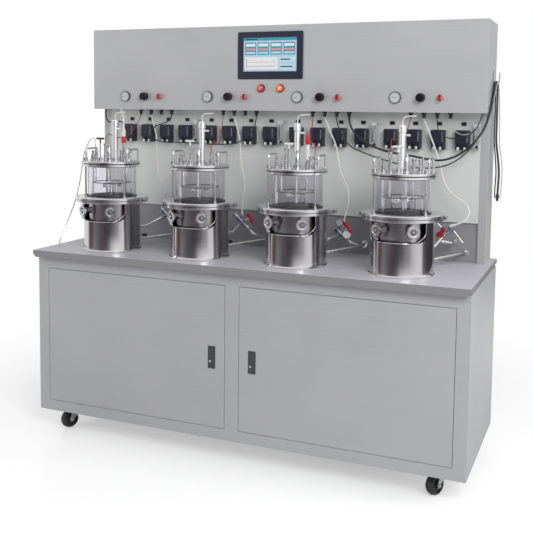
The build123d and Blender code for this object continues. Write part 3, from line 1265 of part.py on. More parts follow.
LOOM_ROUTE = [
    (SOCKET_XS[11], SOCKET_Y, CORD_START), (320, 122, 1284), (346, 111, 1253), (384, 107, 1224),
    (428, 105, 1203), (474, 101, 1189), (522, 97, 1181), (572, 92, 1176), (628, 88, 1166),
    (686, 86, 1159), (743, 87, 1176), (793, 92, 1213), (833, 102, 1262), (858, 112, 1325),
    (864, 138, 1383), (866, 172, 1432), (866, 198, 1459.5), (867, 228, 1459.5), (868, 242, 1418),
    (869, 240, 1357), (870, 232, 1292), (871, 224, 1228), (880, 226, 1170), (885, 232, 1112),
    (883, 232, 1068), (882, 230, 1030),
]


def cord(route, diameter):
    """Cord tube along its route, with each arc as large as its two runs allow."""
    return tube_along(route, diameter, corner_radii(route))


for number, hose_route in enumerate(HOSE_ROUTES, start=1):
    save(cord(hose_route, HOSE_DIAMETER), f"white_hose_{number}")
save(cord(LOOM_ROUTE, LOOM_DIAMETER), "black_loom")

# Connector on the loom's free end: a grip sleeve and a narrower nose.
CONNECTOR_LENGTH = 26.0
loom_end = Vector(*LOOM_ROUTE[-1])
loom_way = (loom_end - Vector(*LOOM_ROUTE[-2])).normalized()
with BuildPart() as lead_connector:
    with BuildSketch(Plane(origin=loom_end, z_dir=loom_way)):
        Circle(6)
    extrude(amount=CONNECTOR_LENGTH - 8)
    with BuildSketch(Plane(origin=loom_end + loom_way * (CONNECTOR_LENGTH - 8), z_dir=loom_way)):
        Circle(4.5)
    extrude(amount=8)
save(lead_connector.part, "lead_connector")

# ---- pipework ----------------------------------------------------------------------------------
# Behind the right side of each vessel: the hose's union on a ball valve with a two-lobed grip, the
# pipe from the valve to the stand's upper port and to the rear plate, the low return pipe, and a
# capped drain stub. Vessel 3 has a pressure gauge and a sampling cap, vessel 4 a second feed.
PIPE_DIAMETER = 12.0
PIPE_BEND = 14.0
UNION = (15.0, 20.0)
VALVE_DIAMETER = 22.0
VALVE_NUT = (27.0, 9.0)
VALVE_NECK = 11.0
GRIP_LOBE = (12.0, 9.0)            # half length and half width of each lobe of a grip
GRIP_LOBE_PLACE = 13.0
GRIP_THICKNESS = 8.0
GRIP_WEB = (20.0, 9.0)
# both ends of each valve and the middle of its grip, with heights above the bench as all below
VALVES = [
    ((-512, 80, 152), (-444, 72, 97), (-436, 50, 142)),
    ((-161, 79, 144), (-84, 70, 83), (-74, 52, 136)),
    ((285, 75, 111), (334, 66, 75), (343, 50, 125)),
    ((742, 68, 142), (700, 64, 110), (706, 42, 130)),
]
STAND_FLANGE = (22.0, 3.0)
SUPPLY_RUN = 24.0                  # straight run of the supply pipe out of the valve
SUPPLY_ENDS = [(-400, 69), (-40, 55), (378, 47), (733, 80)]  # across and above the bench
WALL_FLANGE = (24.0, 5.0)
UPPER_PORT = (50.0, 84.0, 30.0)    # direction from the axis, height, straight run out of the stand
RETURN_PIPE = (60.0, 28.0, 40.0)   # direction from the axis, height at the stand and at the rear plate
DRAIN_STUB = (76.0, 28.0, 62.0)    # direction from the axis, height and length
DRAIN_CAP = (24.0, 16.0)
GAUGE_PLACE = (304, 60, 140)
GAUGE_BODY = (32.0, 12.0)
SAMPLING_CAP = [(329, 70, 84), (340, 42, 95)]
SAMPLING_CAP_DISC = (30.0, 7.0)
THIN_ROD_DIAMETER = 4.0
THIN_RODS = {2: [(334, 64, 75), (381, 60, 56)], 3: [(748, 74, 134), (783, 70, 91)]}
SECOND_FEED = [(688, 60, 160), (720, 66, 126)]


def above_bench(points):
    """Points whose heights are counted from the bench."""
    return [Vector(x, y, BENCH_TOP + z) for x, y, z in points]


def hexagon_nut(end, way):
    """Hexagon nut round one end of a valve body."""
    with BuildPart() as nut:
        with BuildSketch(Plane(origin=end, z_dir=way)):
            RegularPolygon(VALVE_NUT[0] / 2, 6)
        extrude(amount=-VALVE_NUT[1])
    return nut.part


def ball_valve(start, end, grip):
    """Valve body with a nut at both ends, and a neck that carries the grip."""
    way = (end - start).normalized()
    middle = (start + end) / 2
    neck = (grip - middle).normalized()
    across = (way - neck * way.dot(neck)).normalized()
    with BuildPart() as valve:
        add(rod(start, end, VALVE_DIAMETER))
        add(hexagon_nut(end, way))
        add(hexagon_nut(start, -way))
        add(rod(middle, grip, VALVE_NECK))
        with BuildSketch(Plane(origin=grip, x_dir=across, z_dir=neck)):
            with Locations((-GRIP_LOBE_PLACE, 0), (GRIP_LOBE_PLACE, 0)):
                Ellipse(GRIP_LOBE[0], GRIP_LOBE[1])
            Rectangle(GRIP_WEB[0], GRIP_WEB[1])
        extrude(amount=GRIP_THICKNESS / 2, both=True)
    return valve.part


def stand_port(vessel, angle, height):
    """Seat of a pipe on the stand, and the direction it leaves in."""
    way = Vector(cos(radians(angle)), sin(radians(angle)), 0)
    return vessel + way * (stand_outer + SEAT_GAP) + Vector(0, 0, height), way


def pipework(number):
    """All pipes of one vessel."""
    vessel = Vector(*VESSEL_PLACES[number])
    start, end, grip = above_bench(VALVES[number])
    middle = (start + end) / 2
    way = (end - start).normalized()
    hose_end = Vector(*HOSE_ROUTES[number][-1])
    hose_way = (hose_end - Vector(*HOSE_ROUTES[number][-2])).normalized()
    union_end = hose_end + hose_way * UNION[1]
    with BuildPart() as pipes:
        add(ball_valve(start, end, grip))
        add(rod(hose_end, union_end, UNION[0]))
        add(rod(union_end - hose_way * 2, middle, PIPE_DIAMETER - 2))
        seat, out = stand_port(vessel, UPPER_PORT[0], UPPER_PORT[1])
        add(rod(seat, seat + out * STAND_FLANGE[1], STAND_FLANGE[0]))
        add(tube_along([seat, seat + out * UPPER_PORT[2], middle], PIPE_DIAMETER, PIPE_BEND))
        supply_end = Vector(SUPPLY_ENDS[number][0], RECESS_FRONT, BENCH_TOP + SUPPLY_ENDS[number][1])
        turn = supply_end - Vector(0, (RECESS_FRONT - end.Y) / 2, 0)
        supply = [end - way * 2, end + way * SUPPLY_RUN, turn, supply_end]
        add(tube_along(supply, PIPE_DIAMETER, PIPE_BEND))
        add(rod(supply_end - Vector(0, WALL_FLANGE[1], 0), supply_end, WALL_FLANGE[0]))
        seat, out = stand_port(vessel, RETURN_PIPE[0], RETURN_PIPE[1])
        add(rod(seat, seat + out * STAND_FLANGE[1], STAND_FLANGE[0]))
        run = (RECESS_FRONT - vessel.Y) / out.Y
        plate_end = Vector(vessel.X + out.X * run, RECESS_FRONT, vessel.Z + RETURN_PIPE[2])
        pipe_way = (plate_end - seat).normalized()
        # the pipe ends in the wall flange, short of the rear plate by its slant
        add(rod(seat, plate_end - pipe_way * (WALL_FLANGE[1] - 0.5), PIPE_DIAMETER))
        add(rod(plate_end - Vector(0, WALL_FLANGE[1], 0), plate_end, WALL_FLANGE[0]))
        seat, out = stand_port(vessel, DRAIN_STUB[0], DRAIN_STUB[1])
        add(rod(seat, seat + out * DRAIN_STUB[2], PIPE_DIAMETER))
        cap_start = seat + out * DRAIN_STUB[2]
        add(rod(cap_start, cap_start + out * DRAIN_CAP[1], DRAIN_CAP[0]))
        if number == 2:
            dial = above_bench([GAUGE_PLACE])[0]
            dial_back = Vector(0, GAUGE_BODY[1], 0)
            add(rod(dial, dial + dial_back, GAUGE_BODY[0]))
            add(rod(dial + dial_back / 2, middle, VALVE_NECK - 2))
            foot, face = above_bench(SAMPLING_CAP)
            add(rod(foot, face, VALVE_NECK))
            disc_end = face + (face - foot).normalized() * SAMPLING_CAP_DISC[1]
            add(rod(face, disc_end, SAMPLING_CAP_DISC[0]))
        if number == 3:
            add(rod(*above_bench(SECOND_FEED), PIPE_DIAMETER - 4))
        if number in THIN_RODS:
            add(rod(*above_bench(THIN_RODS[number]), THIN_ROD_DIAMETER))
    return pipes.part


save(Compound(children=[pipework(number) for number in range(GROUPS)]), "pipework")
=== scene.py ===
from math import radians

import bmesh
import bpy
import numpy as np
from mathutils import Matrix, Vector


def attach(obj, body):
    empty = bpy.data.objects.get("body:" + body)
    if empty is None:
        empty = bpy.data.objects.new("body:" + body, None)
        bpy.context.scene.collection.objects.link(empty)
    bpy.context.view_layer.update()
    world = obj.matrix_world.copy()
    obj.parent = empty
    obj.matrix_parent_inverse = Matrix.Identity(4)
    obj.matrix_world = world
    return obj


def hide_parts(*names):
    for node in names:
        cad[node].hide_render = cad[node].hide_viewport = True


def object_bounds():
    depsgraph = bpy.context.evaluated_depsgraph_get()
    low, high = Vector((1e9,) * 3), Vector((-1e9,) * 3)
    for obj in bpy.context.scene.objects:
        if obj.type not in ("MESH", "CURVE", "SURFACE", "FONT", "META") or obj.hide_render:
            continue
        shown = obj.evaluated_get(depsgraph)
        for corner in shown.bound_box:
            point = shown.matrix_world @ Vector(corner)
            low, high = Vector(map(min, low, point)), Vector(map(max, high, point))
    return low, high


# A bench bioreactor with four stirred vessels: cabinet on casters, bench top, rear panel with pumps and
# an overhead console. Metres, +Z up, the doors face -Y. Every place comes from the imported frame.
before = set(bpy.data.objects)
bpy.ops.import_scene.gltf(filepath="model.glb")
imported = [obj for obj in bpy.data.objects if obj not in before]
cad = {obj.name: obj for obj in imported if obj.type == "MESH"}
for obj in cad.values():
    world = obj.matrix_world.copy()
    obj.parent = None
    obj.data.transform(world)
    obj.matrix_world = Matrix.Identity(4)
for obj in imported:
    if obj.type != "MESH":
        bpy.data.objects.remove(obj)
cad_low, cad_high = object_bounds()

# ---- studio ------------------------------------------------------------------------------------
# A white sweep under three broad soft boxes: high at the right in front, lower at the left in front,
# and at the right side. A wall of toned cloth round the set, seen only in reflections, gives polished
# steel its dark streaks.


def area_lamp(name, place, target, width, height, power):
    """Rectangular soft box at a place, aimed at a target."""
    lamp = bpy.data.lights.new(name, "AREA")
    lamp.shape = "RECTANGLE"
    lamp.size = width
    lamp.size_y = height
    lamp.energy = power
    holder = bpy.data.objects.new(name, lamp)
    bpy.context.scene.collection.objects.link(holder)
    holder.location = place
    holder.rotation_euler = (Vector(target) - Vector(place)).to_track_quat("-Z", "Y").to_euler()


middle = (cad_low + cad_high) / 2
area_lamp("key_box", (2.5, -2.9, 2.9), middle, 1.8, 1.8, 88)
area_lamp("fill_box", (-3.6, -3.2, 1.7), middle, 2.4, 2.0, 46)
area_lamp("side_box", (3.6, 0.6, 1.9), middle, 1.6, 2.2, 40)


def feed(owner, socket, source):
    """Gives an input socket a value, or links an output to it. A node stands for its first output."""
    if isinstance(source, bpy.types.Node):
        source = source.outputs[0]
    if isinstance(source, bpy.types.NodeSocket):
        owner.node_tree.links.new(source, socket)
    else:
        socket.default_value = source


def node(owner, kind, feeds=None, operation=None):
    """Shader node in a material's or world's tree, with what feeds each of its sockets."""
    made = owner.node_tree.nodes.new("ShaderNode" + kind)
    if operation:
        made.operation = operation
    for socket, source in (feeds or {}).items():
        feed(owner, made.inputs[socket], source)
    return made


def background_world(ambient, seen):
    """World that lights at one level and shows another to the camera, mirrors and glass."""
    world = bpy.data.worlds.new("sweep")
    bpy.context.scene.world = world
    world.use_nodes = True
    world.node_tree.nodes.clear()
    rays = node(world, "LightPath").outputs
    viewed = node(world, "Math", {0: rays["Is Camera Ray"], 1: rays["Is Glossy Ray"]}, "MAXIMUM")
    viewed = node(world, "Math", {0: viewed, 1: rays["Is Transmission Ray"]}, "MAXIMUM")
    light = node(world, "Background", {"Color": (1, 1, 1, 1), "Strength": ambient})
    shown = node(world, "Background", {"Color": (1, 1, 1, 1), "Strength": seen})
    node(world, "OutputWorld", {0: node(world, "MixShader", {0: viewed, 1: light, 2: shown})})


background_world(0.42, 1.0)


def set_piece(name, paint_name, points, faces):
    """Piece of the studio set, and its material, whose node tree is still empty."""
    mesh = bpy.data.meshes.new(name)
    mesh.from_pydata(points, [], faces)
    piece = bpy.data.objects.new(name, mesh)
    bpy.context.scene.collection.objects.link(piece)
    paint = bpy.data.materials.new(paint_name)
    paint.use_nodes = True
    paint.node_tree.nodes.clear()
    mesh.materials.append(paint)
    return piece, paint


FLOOR_CORNERS = [(-30, -30, 0), (30, -30, 0), (30, 30, 0), (-30, 30, 0)]
floor_paint = set_piece("floor", "white_floor", FLOOR_CORNERS, [(0, 1, 2, 3)])[1]
floor_rays = node(floor_paint, "LightPath").outputs
matt = node(floor_paint, "BsdfDiffuse", {"Color": (0.80, 0.80, 0.80, 1)})
polish = node(floor_paint, "BsdfGlossy", {"Color": (0.9, 0.9, 0.9, 1), "Roughness": 0.16})
surface = node(floor_paint, "MixShader", {0: 0.10, 1: matt, 2: polish})
unlit = node(floor_paint, "Emission", {"Strength": 0.0})
lifted = node(floor_paint, "Emission", {"Strength": 0.40})
lift = node(floor_paint, "MixShader", {0: floor_rays["Is Camera Ray"], 1: unlit, 2: lifted})
near_floor = node(floor_paint, "AddShader", {0: surface, 1: lift})
# away from the object the sweep is plain white for every view and mirror
WHITE_STARTS, WHITE_WHOLE = 1.1, 2.3
off_middle = node(floor_paint, "VectorMath", {0: node(floor_paint, "TexCoord").outputs["Object"]}, "LENGTH")
distance = off_middle.outputs["Value"]
far_off = node(floor_paint, "MapRange", {"Value": distance, "From Min": WHITE_STARTS,
                                      "From Max": WHITE_WHOLE})
far_off.interpolation_type = "SMOOTHSTEP"
views = {0: floor_rays["Is Camera Ray"], 1: floor_rays["Is Glossy Ray"]}
viewed = node(floor_paint, "Math", views, "MAXIMUM")
whitened = node(floor_paint, "Math", {0: far_off, 1: viewed}, "MULTIPLY")
whole_floor = node(floor_paint, "MixShader", {0: whitened, 1: near_floor, 2: node(floor_paint, "Emission")})
node(floor_paint, "OutputMaterial", {0: whole_floor})


def surround(radius, low, high, steps=96):
    """Upright wall. At bearing a from the front, its points are radius (sin a, -cos a), low and high."""
    bearing = np.radians(np.linspace(-180, 180, steps))
    level = np.array([low, high])[:, None]
    points = np.stack([radius * np.sin(bearing) + 0 * level, -radius * np.cos(bearing) + 0 * level,
                       level + 0 * bearing], 2).reshape(-1, 3)
    near_end = np.arange(steps - 1)
    faces = np.stack([near_end, near_end + 1, near_end + 1 + steps, near_end + steps], 1)
    return set_piece("dark_surround", "surround_tone", points.tolist(), faces.tolist())


# Bearing to the right of the front, then the red, green and blue that polished steel finds there.
LOWER_TONES = [
    (-180, 0.05, 0.05, 0.05), (-154, 0.05, 0.05, 0.05), (-150, 0.95, 0.95, 0.95), (-80, 0.95, 0.95, 0.95),
    (-75, 0.24, 0.20, 0.20), (-66, 0.10, 0.05, 0.04), (-58, 0.08, 0.04, 0.035), (-52, 0.15, 0.14, 0.15),
    (-36, 0.13, 0.12, 0.14), (-18, 0.10, 0.09, 0.11), (-13, 0.14, 0.07, 0.065), (-8, 0.07, 0.065, 0.075),
    (4, 0.06, 0.055, 0.065), (16, 0.08, 0.075, 0.09), (26, 0.12, 0.115, 0.13), (35, 0.24, 0.235, 0.26),
    (47, 0.34, 0.335, 0.36), (53, 0.56, 0.56, 0.58), (62, 0.76, 0.76, 0.77), (84, 0.85, 0.85, 0.85),
    (90, 0.12, 0.11, 0.12), (102, 0.04, 0.035, 0.04), (180, 0.05, 0.05, 0.05),
]
UPPER_TONES = [
    (-180, 0.06, 0.06, 0.06), (-154, 0.06, 0.06, 0.06), (-150, 0.80, 0.80, 0.80), (-80, 0.80, 0.80, 0.80),
    (-70, 0.24, 0.23, 0.24), (-50, 0.16, 0.15, 0.17), (-20, 0.12, 0.11, 0.13), (-2, 0.13, 0.12, 0.14),
    (8, 0.26, 0.25, 0.28), (18, 0.70, 0.69, 0.72), (40, 1.0, 1.0, 1.0), (95, 1.0, 1.0, 1.0),
    (110, 0.40, 0.39, 0.41), (150, 0.10, 0.09, 0.10), (180, 0.05, 0.05, 0.05),
]
LOWER_TONES_END, UPPER_TONES_START = 0.72, 0.84
wall, wall_tone = surround(3.4, 0.02, 2.3)
wall_parts = node(wall_tone, "SeparateXYZ", {0: node(wall_tone, "TexCoord").outputs["Object"]}).outputs
to_front = node(wall_tone, "Math", {0: wall_parts["Y"], 1: -1}, "MULTIPLY")
wall_bearing = node(wall_tone, "Math", {0: wall_parts["X"], 1: to_front}, "ARCTAN2")
wall_share = node(wall_tone, "MapRange", {"Value": wall_bearing, "From Min": -np.pi, "From Max": np.pi})
upper_share = node(wall_tone, "MapRange", {"Value": wall_parts["Z"], "From Min": LOWER_TONES_END,
                                           "From Max": UPPER_TONES_START})
wall_mix = node(wall_tone, "MixRGB", {"Fac": upper_share})
for socket, tones in (("Color1", LOWER_TONES), ("Color2", UPPER_TONES)):
    ramp = node(wall_tone, "ValToRGB", {"Fac": wall_share})
    stops = ramp.color_ramp.elements
    for index, (bearing, *tone) in enumerate(tones):
        stop = stops[index] if index < 2 else stops.new((bearing + 180) / 360)
        stop.position = (bearing + 180) / 360
        stop.color = (*tone, 1)
    feed(wall_tone, wall_mix.inputs[socket], ramp)
node(wall_tone, "OutputMaterial", {0: node(wall_tone, "Emission", {"Color": wall_mix})})
wall.visible_camera = False
wall.visible_diffuse = False
wall.visible_shadow = False
wall.visible_transmission = False
wall.visible_volume_scatter = False

# Camera at standing height to the right of the middle, looking a little left and down.
CAMERA_PLACE = (1.29085, -3.06623, 1.34454)
CAMERA_YAW = radians(22.57)
CAMERA_PITCH = radians(4.94)
CAMERA_ROLL = radians(0.63)
camera = bpy.data.objects.new("camera", bpy.data.cameras.new("camera"))
bpy.context.scene.collection.objects.link(camera)
turn = Matrix.Rotation(CAMERA_YAW, 3, "Z") @ Matrix.Rotation(radians(90) - CAMERA_PITCH, 3, "X")
camera.matrix_world = (turn @ Matrix.Rotation(CAMERA_ROLL, 3, "Z")).to_4x4()
camera.location = CAMERA_PLACE
camera.data.lens = 54.8
camera.data.shift_y = -0.169
bpy.context.scene.camera = camera
bpy.context.scene.view_settings.view_transform = "Standard"

# ---- cabinet -----------------------------------------------------------------------------------
# Folded and welded sheet steel with a satin grey powder coat. The coat has a fine orange-peel skin,
# drifts a little in tone over a large face and is painted lighter along its folded edges, a painted
# highlight.


def plain(name, **numbers):
    """Material with one Principled shader whose numbers stand on the shader's own sockets."""
    material = bpy.data.materials.new(name)
    material.use_nodes = True
    shader = material.node_tree.nodes["Principled BSDF"]
    for socket, value in numbers.items():
        shader.inputs[socket.replace("_", " ")].default_value = value
    return material


def grain(material, size, stretch=(1, 1, 1), detail=2.0):
    """Noise over Object coordinates: spots of one size in metres, drawn out by stretch."""
    place = node(material, "TexCoord").outputs["Object"]
    scaled = node(material, "Mapping", {"Vector": place, "Scale": [1 / (size * s) for s in stretch]})
    noise = node(material, "TexNoise", {"Vector": scaled, "Scale": 1.0, "Detail": detail, "Roughness": 0.5})
    return noise.outputs["Fac"]


def between(material, value, low, high, start=0.3, end=0.7):
    """A value carried from start..end to low..high, held at both ends."""
    ends = {"From Min": start, "From Max": end, "To Min": low, "To Max": high}
    return node(material, "MapRange", {"Value": value, **ends}).outputs["Result"]


def blended(material, share, first, second):
    """Colour from first to second by a share from 0 to 1. Either may be a colour or a node's output."""
    mix = node(material, "Mix")
    mix.data_type = "RGBA"
    sockets = [mix.inputs["Factor"], *(socket for socket in mix.inputs if socket.type == "RGBA")]
    for socket, source in zip(sockets, (share, first, second)):
        feed(material, socket, (*source, 1) if isinstance(source, tuple) else source)
    return [output for output in mix.outputs if output.type == "RGBA"][0]


def drive(material, socket, output):
    """Feeds a socket of the Principled shader."""
    feed(material, material.node_tree.nodes["Principled BSDF"].inputs[socket], output)


def relief(material, height, depth, edge=0.0):
    """Bump of a depth in metres. With an edge radius, sharp edges also shade as if rounded."""
    bump = node(material, "Bump", {"Strength": 1.0, "Distance": depth, "Height": height})
    if edge:
        bevel = node(material, "Bevel", {"Radius": edge})
        bevel.samples = 4
        feed(material, bump.inputs["Normal"], bevel)
    drive(material, "Normal", bump)


def rounded_shading():
    """Node tree that welds a mesh and shades it smooth, except on edges sharper than 28 degrees."""
    tree = bpy.data.node_groups.new("rounded_shading", "GeometryNodeTree")
    for way in ("INPUT", "OUTPUT"):
        tree.interface.new_socket("Geometry", in_out=way, socket_type="NodeSocketGeometry")
    start, weld, faces, edges, end, angle, sharp = (tree.nodes.new(kind) for kind in (
        "NodeGroupInput", "GeometryNodeMergeByDistance", "GeometryNodeSetShadeSmooth",
        "GeometryNodeSetShadeSmooth", "NodeGroupOutput", "GeometryNodeInputMeshEdgeAngle", "ShaderNodeMath"))
    weld.inputs["Distance"].default_value = 0.00001
    edges.domain = "EDGE"
    edges.inputs["Shade Smooth"].default_value = False
    sharp.operation = "GREATER_THAN"
    sharp.inputs[1].default_value = radians(28)
    for first, second in ((start, weld), (weld, faces), (faces, edges), (edges, end)):
        tree.links.new(first.outputs[0], second.inputs[0])
    tree.links.new(angle.outputs["Unsigned Angle"], sharp.inputs[0])
    tree.links.new(sharp.outputs[0], edges.inputs["Selection"])
    return tree


ROUNDED = rounded_shading()


def dress(material, *names):
    """Gives CAD nodes one material in all their slots, and shades their curved faces smooth."""
    for name in names:
        slots = cad[name].data.materials
        slots.clear()
        slots.append(material)
        cad[name].modifiers.new("rounded_shading", "NODES").node_group = ROUNDED


def painted_edge_highlight(material, radius):
    """Share of the painted highlight: it rises where the rounded normal turns away from the face's own, along
    sharp edges.
    """
    rounded = node(material, "Bevel", {"Radius": radius})
    rounded.samples = 4
    own = node(material, "NewGeometry").outputs["True Normal"]
    agreement = node(material, "VectorMath", {0: rounded, 1: own}, "DOT_PRODUCT")
    return between(material, agreement.outputs["Value"], 1, 0, 0.86, 0.99)


def powder_coat(name, colour):
    """Satin powder coat: orange peel 0.9 mm across, slow drift of tone, faint horizontal wiping marks and a
    painted highlight along sharp edges.
    """
    paint = plain(name, Specular_IOR_Level=0.5)
    wiping = grain(paint, 0.004, stretch=(60, 60, 1), detail=3)
    dark = tuple(0.93 * c for c in colour)
    light = tuple(min(1.06 * c, 1) for c in colour)
    slow = blended(paint, between(paint, grain(paint, 0.45), 0, 1), dark, light)
    wiped = blended(paint, between(paint, wiping, 0, 0.6), slow, light)
    # painted highlight: the coat is painted lighter along sharp edges, standing in for the light they catch
    edge_tone = tuple(min(1.6 * c, 0.82) for c in colour)
    drive(paint, "Base Color", blended(paint, painted_edge_highlight(paint, 0.0014), wiped, edge_tone))
    drive(paint, "Roughness", between(paint, wiping, 0.36, 0.50))
    relief(paint, grain(paint, 0.0009), 0.00004, edge=0.0015)
    return paint


cabinet_grey = powder_coat("cabinet_grey", (0.400, 0.402, 0.412))
dress(cabinet_grey, "cabinet_shell", "left_door", "right_door")

# ---- latches -----------------------------------------------------------------------------------
# Die-cast flush latches in a dark grey finish. A bright nickel key plug, 9 mm across, stands low on
# each paddle.


def mottled(name, spot, dark, light, skin=None, rough=None, **numbers):
    """Material whose colour drifts from dark to light in spots of one size.

    skin is a bump: its size and depth, and the edge radius if there is one. rough is noise for the
    roughness: its size and both ends.
    """
    material = plain(name, **numbers)
    speck = between(material, grain(material, spot), 0, 1)
    drive(material, "Base Color", blended(material, speck, dark, light))
    if rough:
        size, low, high = rough
        drive(material, "Roughness", between(material, grain(material, size), low, high))
    if skin:
        size, *depth_and_edge = skin
        relief(material, grain(material, size), *depth_and_edge)
    return material


def over(material, share, tone):
    """Lays a tone over the present base colour where a share is 1."""
    present = material.node_tree.nodes["Principled BSDF"].inputs["Base Color"].links[0].from_socket
    drive(material, "Base Color", blended(material, share, present, tone))


def near(material, centre, radius, axes=(1, 1, 1), fade=0.0003):
    """Share that is 1 within a radius of a point and 0 outside. An axis set to 0 doesn't count."""
    place = node(material, "TexCoord").outputs["Object"]
    flat = node(material, "VectorMath", {0: place, 1: axes}, "MULTIPLY")
    flat_centre = [c * a for c, a in zip(centre, axes)]
    gap = node(material, "VectorMath", {0: flat, 1: flat_centre}, "DISTANCE")
    return between(material, gap.outputs["Value"], 1, 0, radius - fade, radius + fade)


KEY_PLUG_XS = {"left": -0.089, "right": 0.077}
KEY_PLUG_Z = 0.394
KEY_PLUG_RADIUS = 0.0046
for side, plug_x in KEY_PLUG_XS.items():
    latch_finish = mottled(f"{side}_latch_finish", 0.002, (0.060, 0.060, 0.065), (0.10, 0.10, 0.105),
                           skin=(0.0004, 0.00004, 0.0008))
    plug = near(latch_finish, (plug_x, 0, KEY_PLUG_Z), KEY_PLUG_RADIUS, axes=(1, 0, 1))
    over(latch_finish, plug, (0.62, 0.61, 0.58))
    drive(latch_finish, "Metallic", between(latch_finish, plug, 0.6, 1.0, 0, 1))
    drive(latch_finish, "Roughness", between(latch_finish, plug, 0.5, 0.25, 0, 1))
    dress(latch_finish, f"{side}_latch_case", f"{side}_latch_handle")

# ---- bench top ---------------------------------------------------------------------------------
# Slab of solid laminate: a pale lilac-grey face with a fine mottle and a darker sanded edge.
laminate = plain("laminate")
face_way = node(laminate, "SeparateXYZ", {0: node(laminate, "NewGeometry").outputs["True Normal"]}).outputs
mottle = between(laminate, grain(laminate, 0.003, detail=4), 0, 1)
face_tone = blended(laminate, mottle, (0.52, 0.515, 0.56), (0.58, 0.575, 0.62))
edge_tone = blended(laminate, mottle, (0.20, 0.20, 0.21), (0.26, 0.26, 0.27))
top_share = between(laminate, face_way["Z"], 0, 1, 0.6, 0.8)
drive(laminate, "Base Color", blended(laminate, top_share, edge_tone, face_tone))
drive(laminate, "Roughness", between(laminate, grain(laminate, 0.05), 0.34, 0.46))
relief(laminate, grain(laminate, 0.0012), 0.00003)
dress(laminate, "bench_top")

# ---- casters -----------------------------------------------------------------------------------
# Swivel casters: black rubber tyre moulded on a black nylon hub, in a zinc-plated pressed fork. Dust
# has greyed the tread.
tyre_black = plain("tyre_black")
dust = between(tyre_black, grain(tyre_black, 0.02, detail=5), 0, 1, 0.4, 0.75)
drive(tyre_black, "Base Color", blended(tyre_black, dust, (0.012, 0.012, 0.013), (0.05, 0.048, 0.046)))
drive(tyre_black, "Roughness", between(tyre_black, dust, 0.35, 0.7, 0, 1))
relief(tyre_black, grain(tyre_black, 0.0012), 0.00008)
zinc = plain("zinc_plate", Metallic=1.0)
spangle = between(zinc, grain(zinc, 0.006, detail=3), 0, 1)
drive(zinc, "Base Color", blended(zinc, spangle, (0.42, 0.43, 0.45), (0.62, 0.63, 0.64)))
drive(zinc, "Roughness", between(zinc, spangle, 0.28, 0.46, 0, 1))
relief(zinc, grain(zinc, 0.001), 0.00003, edge=0.0006)
for number in (1, 2, 3, 4):
    dress(tyre_black, f"caster_wheel_{number}")
    dress(zinc, f"caster_fork_{number}")
dress(zinc, "caster_plates")

# ---- rear column and panel ---------------------------------------------------------------------
# The same grey coat on the uprights and the cover behind. The pump panel is paler. The recess plate
# below it is painted darker, as painted shade. Domed screws hold the rear cover, and two fields of pressed
# louvres air it.
# painted light: the console's coat is a little lighter than the same coat on the cabinet and uprights
dress(powder_coat("console_grey_painted_lighter", (0.432, 0.434, 0.442)), "console_housing")
dress(powder_coat("panel_pale", (0.62, 0.63, 0.62)), "back_panel")


def arithmetic(material, operation, first, second=0.0):
    """One Math node. Each side is a node's output or a number."""
    return node(material, "Math", {0: first, 1: second}, operation).outputs[0]


def split(material):
    """X, Y and Z outputs of the Object coordinates."""
    return node(material, "SeparateXYZ", {0: node(material, "TexCoord").outputs["Object"]}).outputs


RECESS_TOP = 0.9195
RECESS_Y = (0.172, 0.182)
POST_INSIDE = 0.820
column_grey = powder_coat("column_grey", (0.400, 0.402, 0.412))
places = split(column_grey)
low_down = between(column_grey, places["Z"], 1, 0, RECESS_TOP - 0.0005, RECESS_TOP + 0.0005)
behind_front = between(column_grey, places["Y"], 0, 1, RECESS_Y[0], RECESS_Y[0] + 0.001)
before_back = between(column_grey, places["Y"], 1, 0, RECESS_Y[1], RECESS_Y[1] + 0.001)
on_plate = arithmetic(column_grey, "MULTIPLY", behind_front, before_back)
off_centre = arithmetic(column_grey, "ABSOLUTE", places["X"])
between_posts = between(column_grey, off_centre, 1, 0, POST_INSIDE, POST_INSIDE + 0.002)
low_on_plate = arithmetic(column_grey, "MULTIPLY", low_down, on_plate)
# painted shade: the recess plate below the pump panel, between the posts, is painted darker
over(column_grey, arithmetic(column_grey, "MULTIPLY", low_on_plate, between_posts), (0.27, 0.27, 0.29))
dress(column_grey, "rear_frame")


def grid_faces(rows, columns, rows_loop=False):
    """Four-sided faces over points numbered row by row. Each row is a loop, and the rows may be one too."""
    row, column = np.meshgrid(np.arange(rows - (not rows_loop)), np.arange(columns), indexing="ij")
    row, column = row.ravel(), column.ravel()
    next_row, next_column = (row + 1) % rows, (column + 1) % columns
    return np.stack([row * columns + column, row * columns + next_column,
                     next_row * columns + next_column, next_row * columns + column], 1)


AXES = {
    "X": np.array([(0, 1, 0), (0, 0, 1), (1, 0, 0)], float),
    "Y": np.array([(1, 0, 0), (0, 0, 1), (0, 1, 0)], float),
    "Z": np.array([(1, 0, 0), (0, 1, 0), (0, 0, 1)], float),
}


def turned(profile, centre, axis="Z", steps=40):
    """Lathe surface. At turn t, a profile point (r, h) lies at centre + r cos t, r sin t across, h along."""
    frame_axes = AXES[axis] if isinstance(axis, str) else axis
    radius, height = np.array(profile, float).T
    turn = np.linspace(0, 2 * np.pi, steps, endpoint=False)
    local = np.stack([np.outer(radius, np.cos(turn)), np.outer(radius, np.sin(turn)),
                      np.repeat(height[:, None], steps, 1)], 2).reshape(-1, 3)
    return local @ frame_axes + np.array(centre), grid_faces(len(radius), steps)


def outline(width, height, corner, steps=5):
    """Closed outline of a rectangle: a quarter circle of the corner radius about each corner's centre."""
    turn = (np.arange(4)[:, None] * np.pi / 2 + np.linspace(0, np.pi / 2, steps)).ravel()
    quadrant = np.repeat(np.arange(4) * np.pi / 2 + np.pi / 4, steps)
    return np.stack([np.sign(np.cos(quadrant)) * (width / 2 - corner) + corner * np.cos(turn),
                     np.sign(np.sin(quadrant)) * (height / 2 - corner) + corner * np.sin(turn)], 1)


